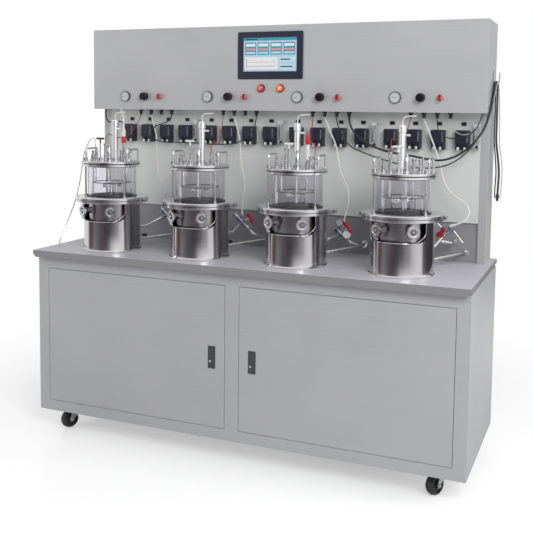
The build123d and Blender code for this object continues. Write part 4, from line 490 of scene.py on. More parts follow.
def pad(shape, levels, centre, axis="Y", roll=0.0):
    """Outline lifted through levels of (scale, height): scale times the outline, height along the axis."""
    scale, height = np.array(levels, float).T
    turned_shape = shape @ np.array([(np.cos(roll), np.sin(roll)), (-np.sin(roll), np.cos(roll))])
    flat = scale[:, None, None] * turned_shape[None]
    local = np.concatenate([flat, np.repeat(height[:, None], len(shape), 1)[:, :, None]], 2).reshape(-1, 3)
    return local @ AXES[axis] + np.array(centre), grid_faces(len(scale), len(shape))


def new_piece(name, groups):
    """One piece from groups of (material, shells): welded, faces turned outwards, shaded smooth."""
    points, faces, indices, count = [], [], [], 0
    mesh = bpy.data.meshes.new(name)
    for index, (material, shells) in enumerate(groups):
        mesh.materials.append(material)
        for shell_points, shell_faces in shells:
            points.append(shell_points)
            faces.append(shell_faces + count)
            indices.append(np.full(len(shell_faces), index, np.int32))
            count += len(shell_points)
    mesh.from_pydata(np.concatenate(points), [], np.concatenate(faces).tolist())
    mesh.polygons.foreach_set("material_index", np.concatenate(indices))
    welded = bmesh.new()
    welded.from_mesh(mesh)
    bmesh.ops.remove_doubles(welded, verts=welded.verts, dist=0.000002)
    bmesh.ops.recalc_face_normals(welded, faces=welded.faces)
    welded.to_mesh(mesh)
    welded.free()
    mesh.shade_smooth()
    mesh.set_sharp_from_angle(angle=radians(35))
    piece = bpy.data.objects.new(name, mesh)
    bpy.context.scene.collection.objects.link(piece)
    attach(piece, "frame")


SCREW_HEAD = [(0, 0), (0.0042, 0), (0.0042, 0.0006), (0.0032, 0.0016), (0.0018, 0.0021), (0.0016, 0.0012),
              (0, 0.0012)]
COVER_Y = 0.317
SCREW_ZS = (0.790, 1.225, 1.660)
cover_screws = [turned(SCREW_HEAD, (x, COVER_Y, z), "Y", 24)
                for x in np.linspace(-0.835, 0.835, 7) for z in SCREW_ZS]
bright_zinc = mottled("bright_zinc", 0.002, (0.55, 0.56, 0.58), (0.7, 0.7, 0.71), rough=(0.001, 0.22, 0.38),
                      Metallic=1.0)
new_piece("cover_screws", [(bright_zinc, cover_screws)])
LOUVRE = outline(0.110, 0.012, 0.0059)
LOUVRE_RISE = [(0, 0), (1, 0), (0.96, 0.0012), (0.86, 0.0024), (0.6, 0.0030), (0, 0.0032)]
louvres = [pad(LOUVRE, LOUVRE_RISE, (x, COVER_Y, z))
           for x in (-0.48, 0.48) for z in np.arange(1.46, 1.60, 0.022)]
new_piece("louvres", [(cabinet_grey, louvres)])

# ---- console -----------------------------------------------------------------------------------
# Welded steel box in the same coat, painted a little lighter here as painted light, closed at each side by
# a cover that four countersunk screws hold. It carries the screen, the gauges and the gas controls.
CONSOLE_SIDE = 0.851
FLUSH_HEAD = np.array([(0, 0), (0.004, 0), (0.0034, 0.0009), (0.0016, 0.0011), (0.0014, 0.0003), (0, 0.0003)])
console_screws = [turned(FLUSH_HEAD * (1, side), (side * CONSOLE_SIDE, y, z), "X", 24)
                  for side in (1, -1) for y in (0.105, 0.292) for z in (1.368, 1.656)]
new_piece("console_screws", [(bright_zinc, console_screws)])

# ---- screen ------------------------------------------------------------------------------------
# Touch screen in a moulded dark frame. Its page is a generic one: a title band, a column of coloured
# tiles for each vessel, and a pale field with trend lines, all on lit glass.
dress(mottled("bezel_navy", 0.003, (0.010, 0.012, 0.030), (0.018, 0.020, 0.042),
              skin=(0.0005, 0.00003, 0.001), Roughness=0.35), "screen_bezel")


def lit_field(name, colour):
    """Part of the lit page: its own glow under a glossy pane, a little uneven from the back light."""
    field = mottled(name, 0.02, tuple(0.3 * c for c in colour), tuple(0.34 * c for c in colour),
                    Roughness=0.25, Specular_IOR_Level=0.4, Emission_Strength=0.62)
    unevenness = between(field, grain(field, 0.02), 0, 1)
    drive(field, "Emission Color", blended(field, unevenness, tuple(0.93 * c for c in colour), colour))
    return field


def strip(width, height, corner, back, front, centre, roll=0.0):
    """Flat strip or printed mark that faces the front: a rectangle closed between two depths along Y."""
    levels = [(0, back), (1, back), (1, front), (0, front)]
    return pad(outline(width, height, corner, 2), levels, centre, "Y", roll)


SCREEN_LEFT, SCREEN_BOTTOM, SCREEN_FACE = -0.124, 1.499, 0.080
dress(lit_field("page_ground", (0.50, 0.62, 0.80)), "screen_display")
PAGE_FIELDS = {
    # colour, then left, right, lower and upper edge in millimetres from the page's lower left corner
    "page_teal": ((0.05, 0.36, 0.46), [(0, 231, 123, 135), (6, 56, 66, 116), (62, 112, 66, 116),
                                       (118, 168, 66, 116), (174, 224, 66, 116)]),
    "page_white": ((0.80, 0.84, 0.84), [(6, 150, 8, 58), (10, 52, 100, 111), (66, 108, 100, 111),
                                        (122, 164, 100, 111), (178, 220, 100, 111)]),
    "page_rose": ((0.75, 0.30, 0.36), [(10, 52, 84, 92), (66, 108, 84, 92), (122, 164, 84, 92),
                                       (178, 220, 84, 92), (12, 140, 36, 38)]),
    "page_pale": ((0.52, 0.76, 0.80), [(158, 224, 38, 58), (158, 224, 8, 30), (10, 52, 71, 78),
                                       (66, 108, 71, 78), (122, 164, 71, 78), (178, 220, 71, 78)]),
    "page_ink": ((0.03, 0.08, 0.12), [(162, 204, 45, 50), (162, 214, 16, 21), (12, 140, 20, 21.5),
                                      (12, 13.5, 12, 54), (8, 60, 127, 131)]),
}
LAYER_STEP = 0.00008
page_layers = []
for level, (name, (colour, places)) in enumerate(PAGE_FIELDS.items(), 1):
    shells = [strip((right - left) / 1000, (upper - lower) / 1000, 0.0004, 0.0001, -LAYER_STEP * level,
                    (SCREEN_LEFT + (left + right) / 2000, SCREEN_FACE,
                     SCREEN_BOTTOM + (lower + upper) / 2000))
              for left, right, lower, upper in places]
    page_layers.append((lit_field(name, colour), shells))
new_piece("screen_page", page_layers)

# ---- gauges ------------------------------------------------------------------------------------
# Four pressure gauges in dark crimped rings. Each has a pale dial with eleven printed ticks, and a
# black needle on a black hub.


def row_of_four(first, pitch):
    """Places along X: the first, and three more a pitch apart."""
    return [first + pitch * number for number in range(4)]


def any_of(material, shares):
    """Largest of several shares."""
    total = shares[0]
    for share in shares[1:]:
        total = arithmetic(material, "MAXIMUM", total, share)
    return total


GAUGE_XS = row_of_four(-0.688, 0.399)
GAUGE_Z = 1.396
gauge_ring = mottled("gauge_ring", 0.004, (0.035, 0.035, 0.04), (0.07, 0.07, 0.075),
                     rough=(0.001, 0.25, 0.4), Metallic=0.9)
INNER_RIM_RADIUS = 0.0207
inner_rims = [near(gauge_ring, (x, 0, GAUGE_Z), INNER_RIM_RADIUS, axes=(1, 0, 1)) for x in GAUGE_XS]
over(gauge_ring, any_of(gauge_ring, inner_rims), (0.55, 0.55, 0.56))
dress(gauge_ring, "gauges")
dial_pale = mottled("dial_pale", 0.006, (0.46, 0.47, 0.48), (0.56, 0.57, 0.58), Roughness=0.5)
dial_ink = mottled("dial_ink", 0.002, (0.012, 0.012, 0.014), (0.03, 0.03, 0.03), Roughness=0.4)
SWEEP = np.radians(np.linspace(-130, 130, 11))


def ticks(centre, radius, width, lengths, back, front):
    """Marks round a dial. At turn t, a mark lies radius (sin t, cos t) from the centre, rolled by t."""
    x, y, z = centre
    return [strip(width, length, 0.0002, back, front,
                  (x + radius * np.sin(turn), y, z + radius * np.cos(turn)), -turn)
            for length, turn in zip(lengths, SWEEP)]


DIAL_Y = 0.0779
DIAL_RADIUS = 0.0186
DIAL_FACE = [(0, 0.0003), (DIAL_RADIUS, 0.0003), (DIAL_RADIUS, 0), (0, 0)]
NEEDLE_REACH = 0.0055
NEEDLE_HUB = [(0, -0.0002), (0.0014, -0.0002), (0.0014, -0.001), (0.0008, -0.0014), (0, -0.0014)]
NEEDLE_TURNS = [-100, -70, -115, -85]
TICK_LENGTHS = [0.0036 if tick % 5 == 0 else 0.0024 for tick in range(11)]
for number, (x, degrees) in enumerate(zip(GAUGE_XS, NEEDLE_TURNS), 1):
    dial_middle = (x, DIAL_Y, GAUGE_Z)
    point = np.radians(degrees)
    needle_middle = (x + NEEDLE_REACH * np.sin(point), DIAL_Y, GAUGE_Z + NEEDLE_REACH * np.cos(point))
    needle = strip(0.0009, 0.0150, 0.0003, -0.0004, -0.0008, needle_middle, -point)
    printed = ticks(dial_middle, 0.0155, 0.0007, TICK_LENGTHS, 0, -0.0002)
    hub = turned(NEEDLE_HUB, dial_middle, "Y", 24)
    new_piece(f"gauge_dial_{number}", [(dial_pale, [turned(DIAL_FACE, dial_middle, "Y")]),
                                       (dial_ink, [*printed, needle, hub])])

# ---- regulator and selector knobs --------------------------------------------------------------
# Moulded knobs on spindles: fluted black regulators, and light red selectors whose raised bar is a
# deeper red. Handling has polished them.
knob_black = mottled("knob_black", 0.004, (0.007, 0.003, 0.004), (0.016, 0.005, 0.007),
                     skin=(0.0005, 0.00002, 0.0008), rough=(0.008, 0.24, 0.40), Specular_IOR_Level=0.35)
SELECTOR_XS = row_of_four(-0.516, 0.399)
BAR_HALF_WIDTH = 0.0040
for number, x in enumerate(SELECTOR_XS, 1):
    dress(knob_black, f"regulator_knob_{number}")
    red = mottled(f"selector_red_{number}", 0.003, (0.60, 0.14, 0.145), (0.70, 0.185, 0.19),
                  skin=(0.0005, 0.00002, 0.0006), Roughness=0.35, Coat_Weight=0.2, Coat_Roughness=0.1)
    off_axis = arithmetic(red, "ABSOLUTE", arithmetic(red, "SUBTRACT", split(red)["X"], x))
    bar = between(red, off_axis, 1, 0, BAR_HALF_WIDTH - 0.0003, BAR_HALF_WIDTH + 0.0003)
    over(red, bar, (0.20, 0.012, 0.012))
    dress(red, f"selector_knob_{number}")

# ---- push buttons ------------------------------------------------------------------------------
# Domed translucent caps, one red and one amber, with the lamp behind showing as a paler middle. A
# moulded ring of a deeper shade stands round each.
BUTTON_Z = 1.431
BUTTON_FACE_Y = 0.0850
GLOW_RADIUS, GLOW_FADE = 0.007, 0.0055
BUTTON_COLLAR = [(0.0137, 0), (0.0162, 0), (0.0166, -0.001), (0.0166, -0.0052), (0.0158, -0.0062),
                 (0.0137, -0.0062)]
for colour, x, rim, centre in (("red", -0.046, (0.42, 0.008, 0.008), (0.95, 0.22, 0.18)),
                               ("amber", 0.038, (0.62, 0.10, 0.012), (1.0, 0.52, 0.22))):
    cap = plain(f"{colour}_button_plastic", Roughness=0.22, Coat_Weight=0.4, Coat_Roughness=0.05,
                Emission_Strength=0.12)
    glow = near(cap, (x, 0, BUTTON_Z), GLOW_RADIUS, axes=(1, 0, 1), fade=GLOW_FADE)
    speck = between(cap, grain(cap, 0.002), 0.92, 1.0)
    tone = blended(cap, arithmetic(cap, "MULTIPLY", glow, speck), rim, centre)
    drive(cap, "Base Color", tone)
    drive(cap, "Emission Color", tone)
    relief(cap, grain(cap, 0.0006), 0.00001)
    dress(cap, f"{colour}_button")
    deep = tuple(0.45 * c for c in rim)
    collar_tone = mottled(f"{colour}_button_ring_plastic", 0.002, deep, tuple(1.25 * c for c in deep),
                          skin=(0.0006, 0.00002), Roughness=0.3)
    collar = turned(BUTTON_COLLAR, (x, BUTTON_FACE_Y, BUTTON_Z), "Y")
    new_piece(f"{colour}_button_ring", [(collar_tone, [collar])])

# ---- sockets and hook --------------------------------------------------------------------------
# Sixteen round black connectors hang in four groups from the console's underside. A bent steel rod
# on a small plate holds up the cables at the right side.
dress(mottled("matt_black_plastic", 0.004, (0.016, 0.016, 0.019), (0.028, 0.028, 0.032),
              skin=(0.0004, 0.00003, 0.0006), Roughness=0.45), "console_sockets", "lead_connector")
bright_steel = mottled("bright_steel", 0.01, (0.60, 0.60, 0.61), (0.70, 0.70, 0.70),
                       skin=(0.0008, 0.00001, 0.0005), rough=(0.003, 0.16, 0.26), Metallic=1.0)
dress(bright_steel, "side_hook")

# ---- pumps -------------------------------------------------------------------------------------
# Peristaltic pump heads in navy black plastic on pale plates, with a lighter grey strip at the right that is
# a painted sheen down the head, and white hose sleeves on the two stubs at the foot. A black rocker switch
# sits above each.
dress(powder_coat("plate_grey", (0.56, 0.57, 0.56)), "pump_bases")
dress(mottled("pump_navy", 0.01, (0.010, 0.012, 0.026), (0.018, 0.021, 0.040),
              skin=(0.0005, 0.00002, 0.001), rough=(0.004, 0.26, 0.40)), "pump_heads", "rocker_switches")
PUMP_XS = [-0.705 + 0.0925 * k + 0.395 * n for n in range(4) for k in range(4)]
# painted sheen: a lighter grey strip down the right of each pump head stands in for the head's sheen
sheen_strip_grey = mottled("sheen_strip_grey", 0.003, (0.10, 0.105, 0.13), (0.15, 0.155, 0.18), skin=(0.0005, 0.00002),
                     Roughness=0.4)
silicone = mottled("white_silicone", 0.012, (0.66, 0.66, 0.65), (0.78, 0.78, 0.77), skin=(0.0010, 0.00002),
                   Roughness=0.38, Specular_IOR_Level=0.4, Subsurface_Weight=0.15, Subsurface_Scale=0.004)
SHEEN_STRIP = outline(0.0056, 0.0375, 0.0012, 3)
SHEEN_STRIP_RISE = [(0, 0.0005), (1, 0.0005), (1, -0.0002), (0.9, -0.0006), (0, -0.0006)]
STUB_SLEEVE = [(0.0028, 0.0), (0.0046, 0.0), (0.0052, 0.0015), (0.0052, 0.0095), (0.0046, 0.0115),
               (0.0028, 0.0115)]
STUB_OFFSETS = (-0.016, 0.010)
sheen_strips = [pad(SHEEN_STRIP, SHEEN_STRIP_RISE, (x + 0.018, 0.1300, 1.248)) for x in PUMP_XS]
sleeves = [turned(STUB_SLEEVE, (x + offset, 0.137, 1.1990), "Z", 20)
           for x in PUMP_XS for offset in STUB_OFFSETS]
new_piece("pump_sheen_strips", [(sheen_strip_grey, sheen_strips)])
new_piece("pump_sleeves", [(silicone, sleeves)])

# ---- flow meters -------------------------------------------------------------------------------
# Variable-area meters: opal acrylic blocks with a glass tube between them, a steel ball that floats
# on the gas, a printed scale and a small black needle-valve knob.
METER_XS = row_of_four(-0.3775, 0.395)
meter_white = mottled("meter_white", 0.006, (0.52, 0.53, 0.53), (0.62, 0.63, 0.63),
                      skin=(0.0007, 0.00002, 0.0006), Roughness=0.3)
METER_KNOB_Z, METER_KNOB_RADIUS = 1.213, 0.0060
knobs = [near(meter_white, (x + 0.004, 0, METER_KNOB_Z), METER_KNOB_RADIUS, axes=(1, 0, 1)) for x in METER_XS]
in_front = between(meter_white, split(meter_white)["Y"], 1, 0, 0.1412, 0.1416)
black_front = arithmetic(meter_white, "MULTIPLY", any_of(meter_white, knobs), in_front)
over(meter_white, black_front, (0.02, 0.02, 0.022))
dress(meter_white, "flow_meters")
dress(mottled("clear_glass", 0.04, (0.93, 0.94, 0.94), (0.97, 0.97, 0.97), rough=(0.01, 0.01, 0.04),
              Transmission_Weight=1.0, IOR=1.47), "flow_tubes")
FLOAT_HEIGHTS = [1.236, 1.244, 1.232, 1.240]
FLOAT_BEAD = [(0, -0.0030), (0.0016, -0.0025), (0.0028, -0.0010), (0.0030, 0), (0.0028, 0.0010),
              (0.0016, 0.0025), (0, 0.0030)]
floats = [turned(FLOAT_BEAD, (x - 0.003, 0.149, z), "Z", 24) for x, z in zip(METER_XS, FLOAT_HEIGHTS)]
LOWEST_MARK, MARK_STEP = 1.230, 0.006
scale_marks = [strip(0.0030, 0.0006, 0.0002, 0.0002, -0.0001, (x + 0.0095, 0.1540, z))
               for x in METER_XS for z in LOWEST_MARK + MARK_STEP * np.arange(9)]
scale_strips = [strip(0.0050, 0.0640, 0.0005, 0.0002, -0.0008, (x + 0.0090, 0.1550, 1.253))
                for x in METER_XS]
new_piece("meter_floats", [(bright_steel, floats)])
new_piece("meter_scales", [(dial_pale, scale_strips), (dial_ink, scale_marks)])

# ---- vessel stands -----------------------------------------------------------------------------
# Rolled stainless shells, fine-ground round their girth and polished, so each reflects the room in
# upright streaks. Each has a window at the top of its front half.
VESSEL_XS = row_of_four(-0.6175, 0.406)
VESSEL_Y = -0.134


def polished_steel(name, low, high, colour):
    """Ground and polished stainless: grooves a third of a millimetre apart run round the girth."""
    steel = plain(name, Metallic=1.0)
    clouds = between(steel, grain(steel, 0.05, stretch=(1, 1, 2), detail=4), 0, 1)
    grooves = grain(steel, 0.00035, stretch=(300, 300, 1))
    drive(steel, "Base Color", blended(steel, clouds, tuple(0.92 * c for c in colour), colour))
    drive(steel, "Roughness", between(steel, grooves, low, high))
    relief(steel, grooves, 0.000002)
    return steel


dress(polished_steel("shell_steel", 0.09, 0.17, (0.66, 0.65, 0.66)), "vessel_stands")


def swept(route, radius, samples=14, across=14):
    """Circle carried along a quadratic spline of its points A, B, C.

    Span t is ((1-t)^2 A + (1+2t-2t^2) B + t^2 C) / 2.
    """
    points = np.array(route, float)
    points = np.concatenate([[2 * points[0] - points[1]], points, [2 * points[-1] - points[-2]]])
    t = np.linspace(0, 1, samples, endpoint=False)[None, :, None]
    first, second, third = points[:-2, None], points[1:-1, None], points[2:, None]
    line = (((1 - t) ** 2 * first + (1 + 2 * t - 2 * t ** 2) * second + t ** 2 * third) / 2).reshape(-1, 3)
    way = np.gradient(line, axis=0)
    way /= np.linalg.norm(way, axis=1)[:, None]
    side = np.cross(way, (0.31, 0.93, 0.19))
    side /= np.linalg.norm(side, axis=1)[:, None]
    other = np.cross(way, side)
    turn = np.linspace(0, 2 * np.pi, across, endpoint=False)
    tube = line[:, None] + radius * (np.cos(turn)[None, :, None] * side[:, None]
                                     + np.sin(turn)[None, :, None] * other[:, None])
    caps = np.repeat(line[[0, -1]][:, None], across, 1)
    tube = np.concatenate([caps[:1], tube, caps[1:]])
    return tube.reshape(-1, 3), grid_faces(len(tube), across)


SHELL_RADIUS = 0.1143
WINDOW_HALF, WINDOW_CORNER = 0.0983, 0.025
WINDOW_FOOT, WINDOW_KNEE, WINDOW_TOP = 0.888, 0.935, 0.9625


def window_edge(axis_x):
    """Line along a window's edge, laid on the shell: height over bearing, turned round the upright axis."""
    foot = np.linspace(-WINDOW_HALF + WINDOW_CORNER, WINDOW_HALF - WINDOW_CORNER, 13)
    across = np.concatenate([[-WINDOW_HALF] * 3, foot, [WINDOW_HALF] * 3])
    side = [WINDOW_TOP, WINDOW_KNEE, WINDOW_FOOT + WINDOW_CORNER]
    height = np.concatenate([side, np.full(13, WINDOW_FOOT), side[::-1]])
    depth = -np.sqrt(SHELL_RADIUS ** 2 - across ** 2)
    return np.stack([axis_x + across, VESSEL_Y + depth, height], 1)


window_rims = [swept(window_edge(x), 0.0014, samples=6, across=10) for x in VESSEL_XS]
new_piece("window_rims", [(bright_steel, window_rims)])

# ---- vessels -----------------------------------------------------------------------------------
# Stainless lower bodies with a wide bolting flange, borosilicate glass walls on black gaskets, and
# inside each a welded baffle ring: a bent rod with four upright blades.
flange_steel = polished_steel("flange_steel", 0.16, 0.27, (0.80, 0.80, 0.81))
flange_height = split(flange_steel)["Z"]
# painted darker below the flange, as painted shade where the body sits inside the stand, with a dark joint
# line round the flange and the head plate's groove
FLANGE_FOOT = (0.9615, 0.9628)
JOINT_LINES = ((0.9735, 0.0009), (1.1190, 0.0019))
over(flange_steel, between(flange_steel, flange_height, 1, 0, *FLANGE_FOOT), (0.42, 0.395, 0.405))
for joint_height, half in JOINT_LINES:
    off_joint = arithmetic(flange_steel, "SUBTRACT", flange_height, joint_height)
    off_joint = arithmetic(flange_steel, "ABSOLUTE", off_joint)
    over(flange_steel, between(flange_steel, off_joint, 1, 0, half, half + 0.0004), (0.07, 0.065, 0.07))
dress(flange_steel, "vessel_bodies", "head_plates")
dress(mottled("vessel_glass", 0.08, (0.83, 0.82, 0.86), (0.88, 0.875, 0.90), rough=(0.03, 0.0, 0.03),
              Transmission_Weight=1.0, IOR=1.47), "glass_walls")
GASKET = [(0.0988, 0), (0.1005, 0), (0.1012, 0.0008), (0.1012, 0.0022), (0.1005, 0.0030), (0.0988, 0.0030),
          (0.0988, 0)]
GASKET_ZS = (0.9852, 1.1058)
gasket_rubber = mottled("gasket_rubber", 0.004, (0.015, 0.015, 0.016), (0.035, 0.035, 0.036),
                        skin=(0.0006, 0.00003), Roughness=0.6)
gaskets = [turned(GASKET, (x, VESSEL_Y, z), "Z", 64) for x in VESSEL_XS for z in GASKET_ZS]
new_piece("gaskets", [(gasket_rubber, gaskets)])


def from_axis(x, reach, turn, height):
    """Point round a vessel's axis: reach cos turn, reach sin turn away from it, at a height."""
    return (x + reach * np.cos(turn), VESSEL_Y + reach * np.sin(turn), height)


def ring(centre, major, minor, around=64, across=16):
    """Torus. At turns u, v it is major + minor cos v out along (cos u, sin u), and minor sin v up."""
    u = np.linspace(0, 2 * np.pi, around, endpoint=False)[:, None]
    v = np.linspace(0, 2 * np.pi, across, endpoint=False)[None]
    out = major + minor * np.cos(v)
    points = np.stack([out * np.cos(u), out * np.sin(u), minor * np.sin(v) + 0 * u], 2).reshape(-1, 3)
    return points + np.array(centre), grid_faces(around, across, rows_loop=True)


dull_steel = mottled("dull_steel", 0.006, (0.13, 0.125, 0.135), (0.20, 0.195, 0.205), skin=(0.001, 0.00002),
                     Metallic=1.0, Roughness=0.45)
BAFFLE_Z = 1.041
BAFFLE_RADIUS = 0.0735
BLADE_REACH = BAFFLE_RADIUS + 0.006
BLADE = outline(0.0012, 0.010, 0.0004, 2)
BLADE_LEVELS = [(0, -0.070), (0.9, -0.070), (1, -0.069), (1, 0.001), (0.9, 0.002), (0, 0.002)]
for number, x in enumerate(VESSEL_XS, 1):
    blades = [pad(BLADE, BLADE_LEVELS, from_axis(x, BLADE_REACH, turn, BAFFLE_Z), "Z", roll=turn + np.pi / 2)
              for turn in np.radians([45, 135, 225, 315])]
    rod = ring((x, VESSEL_Y, BAFFLE_Z), BAFFLE_RADIUS, 0.0018)
    new_piece(f"baffle_ring_{number}", [(dull_steel, [rod]), (bright_steel, blades)])

# ---- head plates, rods and fittings ------------------------------------------------------------
# Two-disc stainless head plates held by tie rods with knurled nuts. Turned ports, probes and dip
# tubes stand in them. Two probes have a red cap, with a white stem or boot.
dress(bright_steel, "tie_rods", "port_clamps", "stirrer_motors")
fitting_steel = mottled("fitting_steel", 0.01, (0.56, 0.56, 0.57), (0.68, 0.68, 0.68),
                        skin=(0.0008, 0.00001, 0.0006), rough=(0.004, 0.14, 0.28))
HANDLE_FORWARD, HANDLE_Z, HANDLE_RADIUS = 0.084, 1.222, 0.019
handles = [near(fitting_steel, (x, VESSEL_Y - HANDLE_FORWARD, HANDLE_Z), HANDLE_RADIUS) for x in VESSEL_XS]
moulded = any_of(fitting_steel, handles)
first_vessel = between(fitting_steel, split(fitting_steel)["X"], 1, 0, -0.42, -0.41)
over(fitting_steel, moulded, blended(fitting_steel, first_vessel, (0.72, 0.72, 0.70), (0.02, 0.02, 0.022)))
drive(fitting_steel, "Metallic", between(fitting_steel, moulded, 1, 0, 0, 1))
dress(fitting_steel, "head_fittings")
cap_red = mottled("cap_red", 0.004, (0.42, 0.02, 0.02), (0.55, 0.035, 0.03), skin=(0.0006, 0.00003),
                  Roughness=0.35)


def facing(turn):
    """Axes of a piece that points outwards from an upright centre line at a turn."""
    return np.array([(-np.sin(turn), np.cos(turn), 0), (0, 0, 1), (np.cos(turn), np.sin(turn), 0)])


PORT_HEIGHT = 0.931
PORT_REACH = 0.1312
PORT_FACE = [(0.0120, 0), (0.0205, 0), (0.0216, 0.0010), (0.0216, 0.0034), (0.0200, 0.0046), (0.0172, 0.0040),
             (0.0158, 0.0022), (0.0120, 0.0016)]
PORT_LENS = [(0, -0.0005), (0.0156, -0.0005), (0.0156, 0.0012), (0.0120, 0.0018), (0, 0.0020)]
PORT_KNOB = [(0, 0.001), (0.0042, 0.001), (0.0042, 0.0060), (0.0034, 0.0072), (0, 0.0074)]


def at_ports(profile, steps=40):
    """Lathe surface of one profile on each side port's clamp, pointing outwards."""
    return [turned(profile, from_axis(x, PORT_REACH, turn, PORT_HEIGHT), facing(turn), steps)
            for x in VESSEL_XS for turn in np.radians([-60, -120])]


new_piece("port_caps", [(bright_steel, at_ports(PORT_FACE)), (dull_steel, at_ports(PORT_LENS)),
                        (bright_steel, at_ports(PORT_KNOB, 24))])
HIGH_CAP = [(0.0060, 0.079), (0.0090, 0.079), (0.0096, 0.081), (0.0096, 0.106), (0.0088, 0.1165),
            (0.0040, 0.1190), (0.0040, 0.1175), (0.0060, 0.1150)]
PROBE_STEM = [(0.0060, 0.020), (0.0080, 0.020), (0.0080, 0.076), (0.0060, 0.076)]
LOW_CAP = [(0.0060, 0.064), (0.0086, 0.064), (0.0096, 0.066), (0.0096, 0.088), (0.0086, 0.0905),
           (0.0060, 0.0905)]
CABLE_BOOT = [(0.0060, 0.0905), (0.0084, 0.0905), (0.0088, 0.095), (0.0086, 0.113), (0.0050, 0.1235),
              (0.0030, 0.1235), (0.0030, 0.1160), (0.0060, 0.1160)]
BOSS_TOP = 1.137
for number, cap, sleeve in ((1, LOW_CAP, CABLE_BOOT), (3, HIGH_CAP, PROBE_STEM)):
    boss = (VESSEL_XS[number - 1] + 0.024, VESSEL_Y + 0.052, BOSS_TOP)
    new_piece(f"probe_cap_{number}", [(cap_red, [turned(cap, boss)]), (silicone, [turned(sleeve, boss)])])

# ---- condensers --------------------------------------------------------------------------------
# Jacketed exhaust condensers in satin stainless, with a side stub and a thin bent outlet.
dress(mottled("condenser_steel", 0.01, (0.80, 0.80, 0.81), (0.90, 0.90, 0.90),
              skin=(0.0008, 0.00001, 0.0006), rough=(0.004, 0.34, 0.44), Metallic=1.0), "condensers")

# ---- agitators ---------------------------------------------------------------------------------
# Driven from below: a polished shaft with two six-bladed turbines.
for number in (1, 2, 3, 4):
    dress(bright_steel, f"agitator_{number}")

# ---- pipework ----------------------------------------------------------------------------------
# Stainless pipes and ball valves behind each vessel, in nickelled brass bodies with red two-lobed
# grips. Black caps close the drains, and one vessel has a gauge and a white sampling cap.
VALVES = [
    # both ends of the valve and the middle of its grip, in millimetres
    ((-512, 80, 918), (-444, 72, 863), (-436, 50, 908)),
    ((-161, 79, 910), (-84, 70, 849), (-74, 52, 902)),
    ((285, 75, 877), (334, 66, 841), (343, 50, 891)),
    ((742, 68, 908), (700, 64, 876), (706, 42, 896)),
]
GRIP_RADIUS, GRIP_HALF_THICKNESS = 0.027, 0.0042
VALVE_RADIUS = 0.030


def slab(material, centre, direction, half):
    """Share that is 1 within a half thickness of the plane through a point, square to a direction."""
    place = node(material, "TexCoord").outputs["Object"]
    offset = node(material, "VectorMath", {0: place, 1: centre}, "SUBTRACT")
    along = node(material, "VectorMath", {0: offset, 1: direction}, "DOT_PRODUCT").outputs["Value"]
    depth = arithmetic(material, "ABSOLUTE", along)
    return between(material, depth, 1, 0, half - 0.0002, half + 0.0002)


pipe_metal = mottled("pipe_metal", 0.01, (0.58, 0.58, 0.59), (0.70, 0.70, 0.70),
                     skin=(0.0008, 0.00001, 0.0006))
grips, bodies = [], []
for start, end, grip in np.array(VALVES, float) / 1000:
    valve_middle = (start + end) / 2
    neck = (grip - valve_middle) / np.linalg.norm(grip - valve_middle)
    round_grip = near(pipe_metal, grip, GRIP_RADIUS)
    flat_grip = slab(pipe_metal, grip, neck, GRIP_HALF_THICKNESS)
    grips.append(arithmetic(pipe_metal, "MULTIPLY", round_grip, flat_grip))
    bodies.append(near(pipe_metal, valve_middle, VALVE_RADIUS))
DRAIN_TURN = radians(76)
DRAIN_REACH = 0.1855
DRAIN_Z = 0.794
DRAIN_CAP_RADIUS = 0.0150
drains = [near(pipe_metal, from_axis(x, DRAIN_REACH, DRAIN_TURN, DRAIN_Z), DRAIN_CAP_RADIUS)
          for x in VESSEL_XS]
red_share = any_of(pipe_metal, grips)
black_share = any_of(pipe_metal, drains)
SAMPLING_CAP, SAMPLING_CAP_RADIUS = (0.3418, 0.0375, 0.8628), 0.0175
pale_share = near(pipe_metal, SAMPLING_CAP, SAMPLING_CAP_RADIUS)
over(pipe_metal, any_of(pipe_metal, bodies), (0.34, 0.38, 0.46))
over(pipe_metal, black_share, (0.015, 0.015, 0.016))
over(pipe_metal, pale_share, (0.62, 0.62, 0.60))
over(pipe_metal, red_share, (0.40, 0.015, 0.018))
moulded = any_of(pipe_metal, [red_share, black_share, pale_share])
drive(pipe_metal, "Metallic", between(pipe_metal, moulded, 1, 0, 0, 1))
metal_roughness = between(pipe_metal, grain(pipe_metal, 0.003), 0.16, 0.28)
more_on_plastic = between(pipe_metal, moulded, 0, 0.15, 0, 1)
drive(pipe_metal, "Roughness", arithmetic(pipe_metal, "ADD", metal_roughness, more_on_plastic))
dress(pipe_metal, "pipework")
PRESSURE_X, PRESSURE_Y, PRESSURE_Z = 0.304, 0.060, 0.906
PRESSURE_PLACE = (PRESSURE_X, PRESSURE_Y, PRESSURE_Z)
PRESSURE_FACE = [(0, 0), (0.0135, 0), (0.0135, -0.0003), (0, -0.0003)]
PRESSURE_RIM = [(0.0135, 0.0005), (0.0161, 0.0005), (0.0161, -0.0012), (0.0150, -0.0020), (0.0135, -0.0012)]
pressure_ticks = ticks(PRESSURE_PLACE, 0.0112, 0.0006, [0.0022] * 11, -0.0002, -0.0005)
pressure_needle = strip(0.0010, 0.0110, 0.0004, -0.0004, -0.0007,
                        (PRESSURE_X - 0.0035, PRESSURE_Y, PRESSURE_Z - 0.0015), np.radians(66))
new_piece("pressure_gauge_face", [(dial_pale, [turned(PRESSURE_FACE, PRESSURE_PLACE, "Y")]),
                                  (gauge_ring, [turned(PRESSURE_RIM, PRESSURE_PLACE, "Y")]),
                                  (dial_ink, pressure_ticks + [pressure_needle])])

# ---- hoses -------------------------------------------------------------------------------------
# Four white silicone hoses, 6 mm, fall from the second socket of each group to a union behind the
# vessel. A wider one runs from the console's underside to the boot of the first vessel's probe.


def metres(route):
    """Points in metres from points in millimetres: each number divided by 1000."""
    return [tuple(c / 1000 for c in point) for point in route]


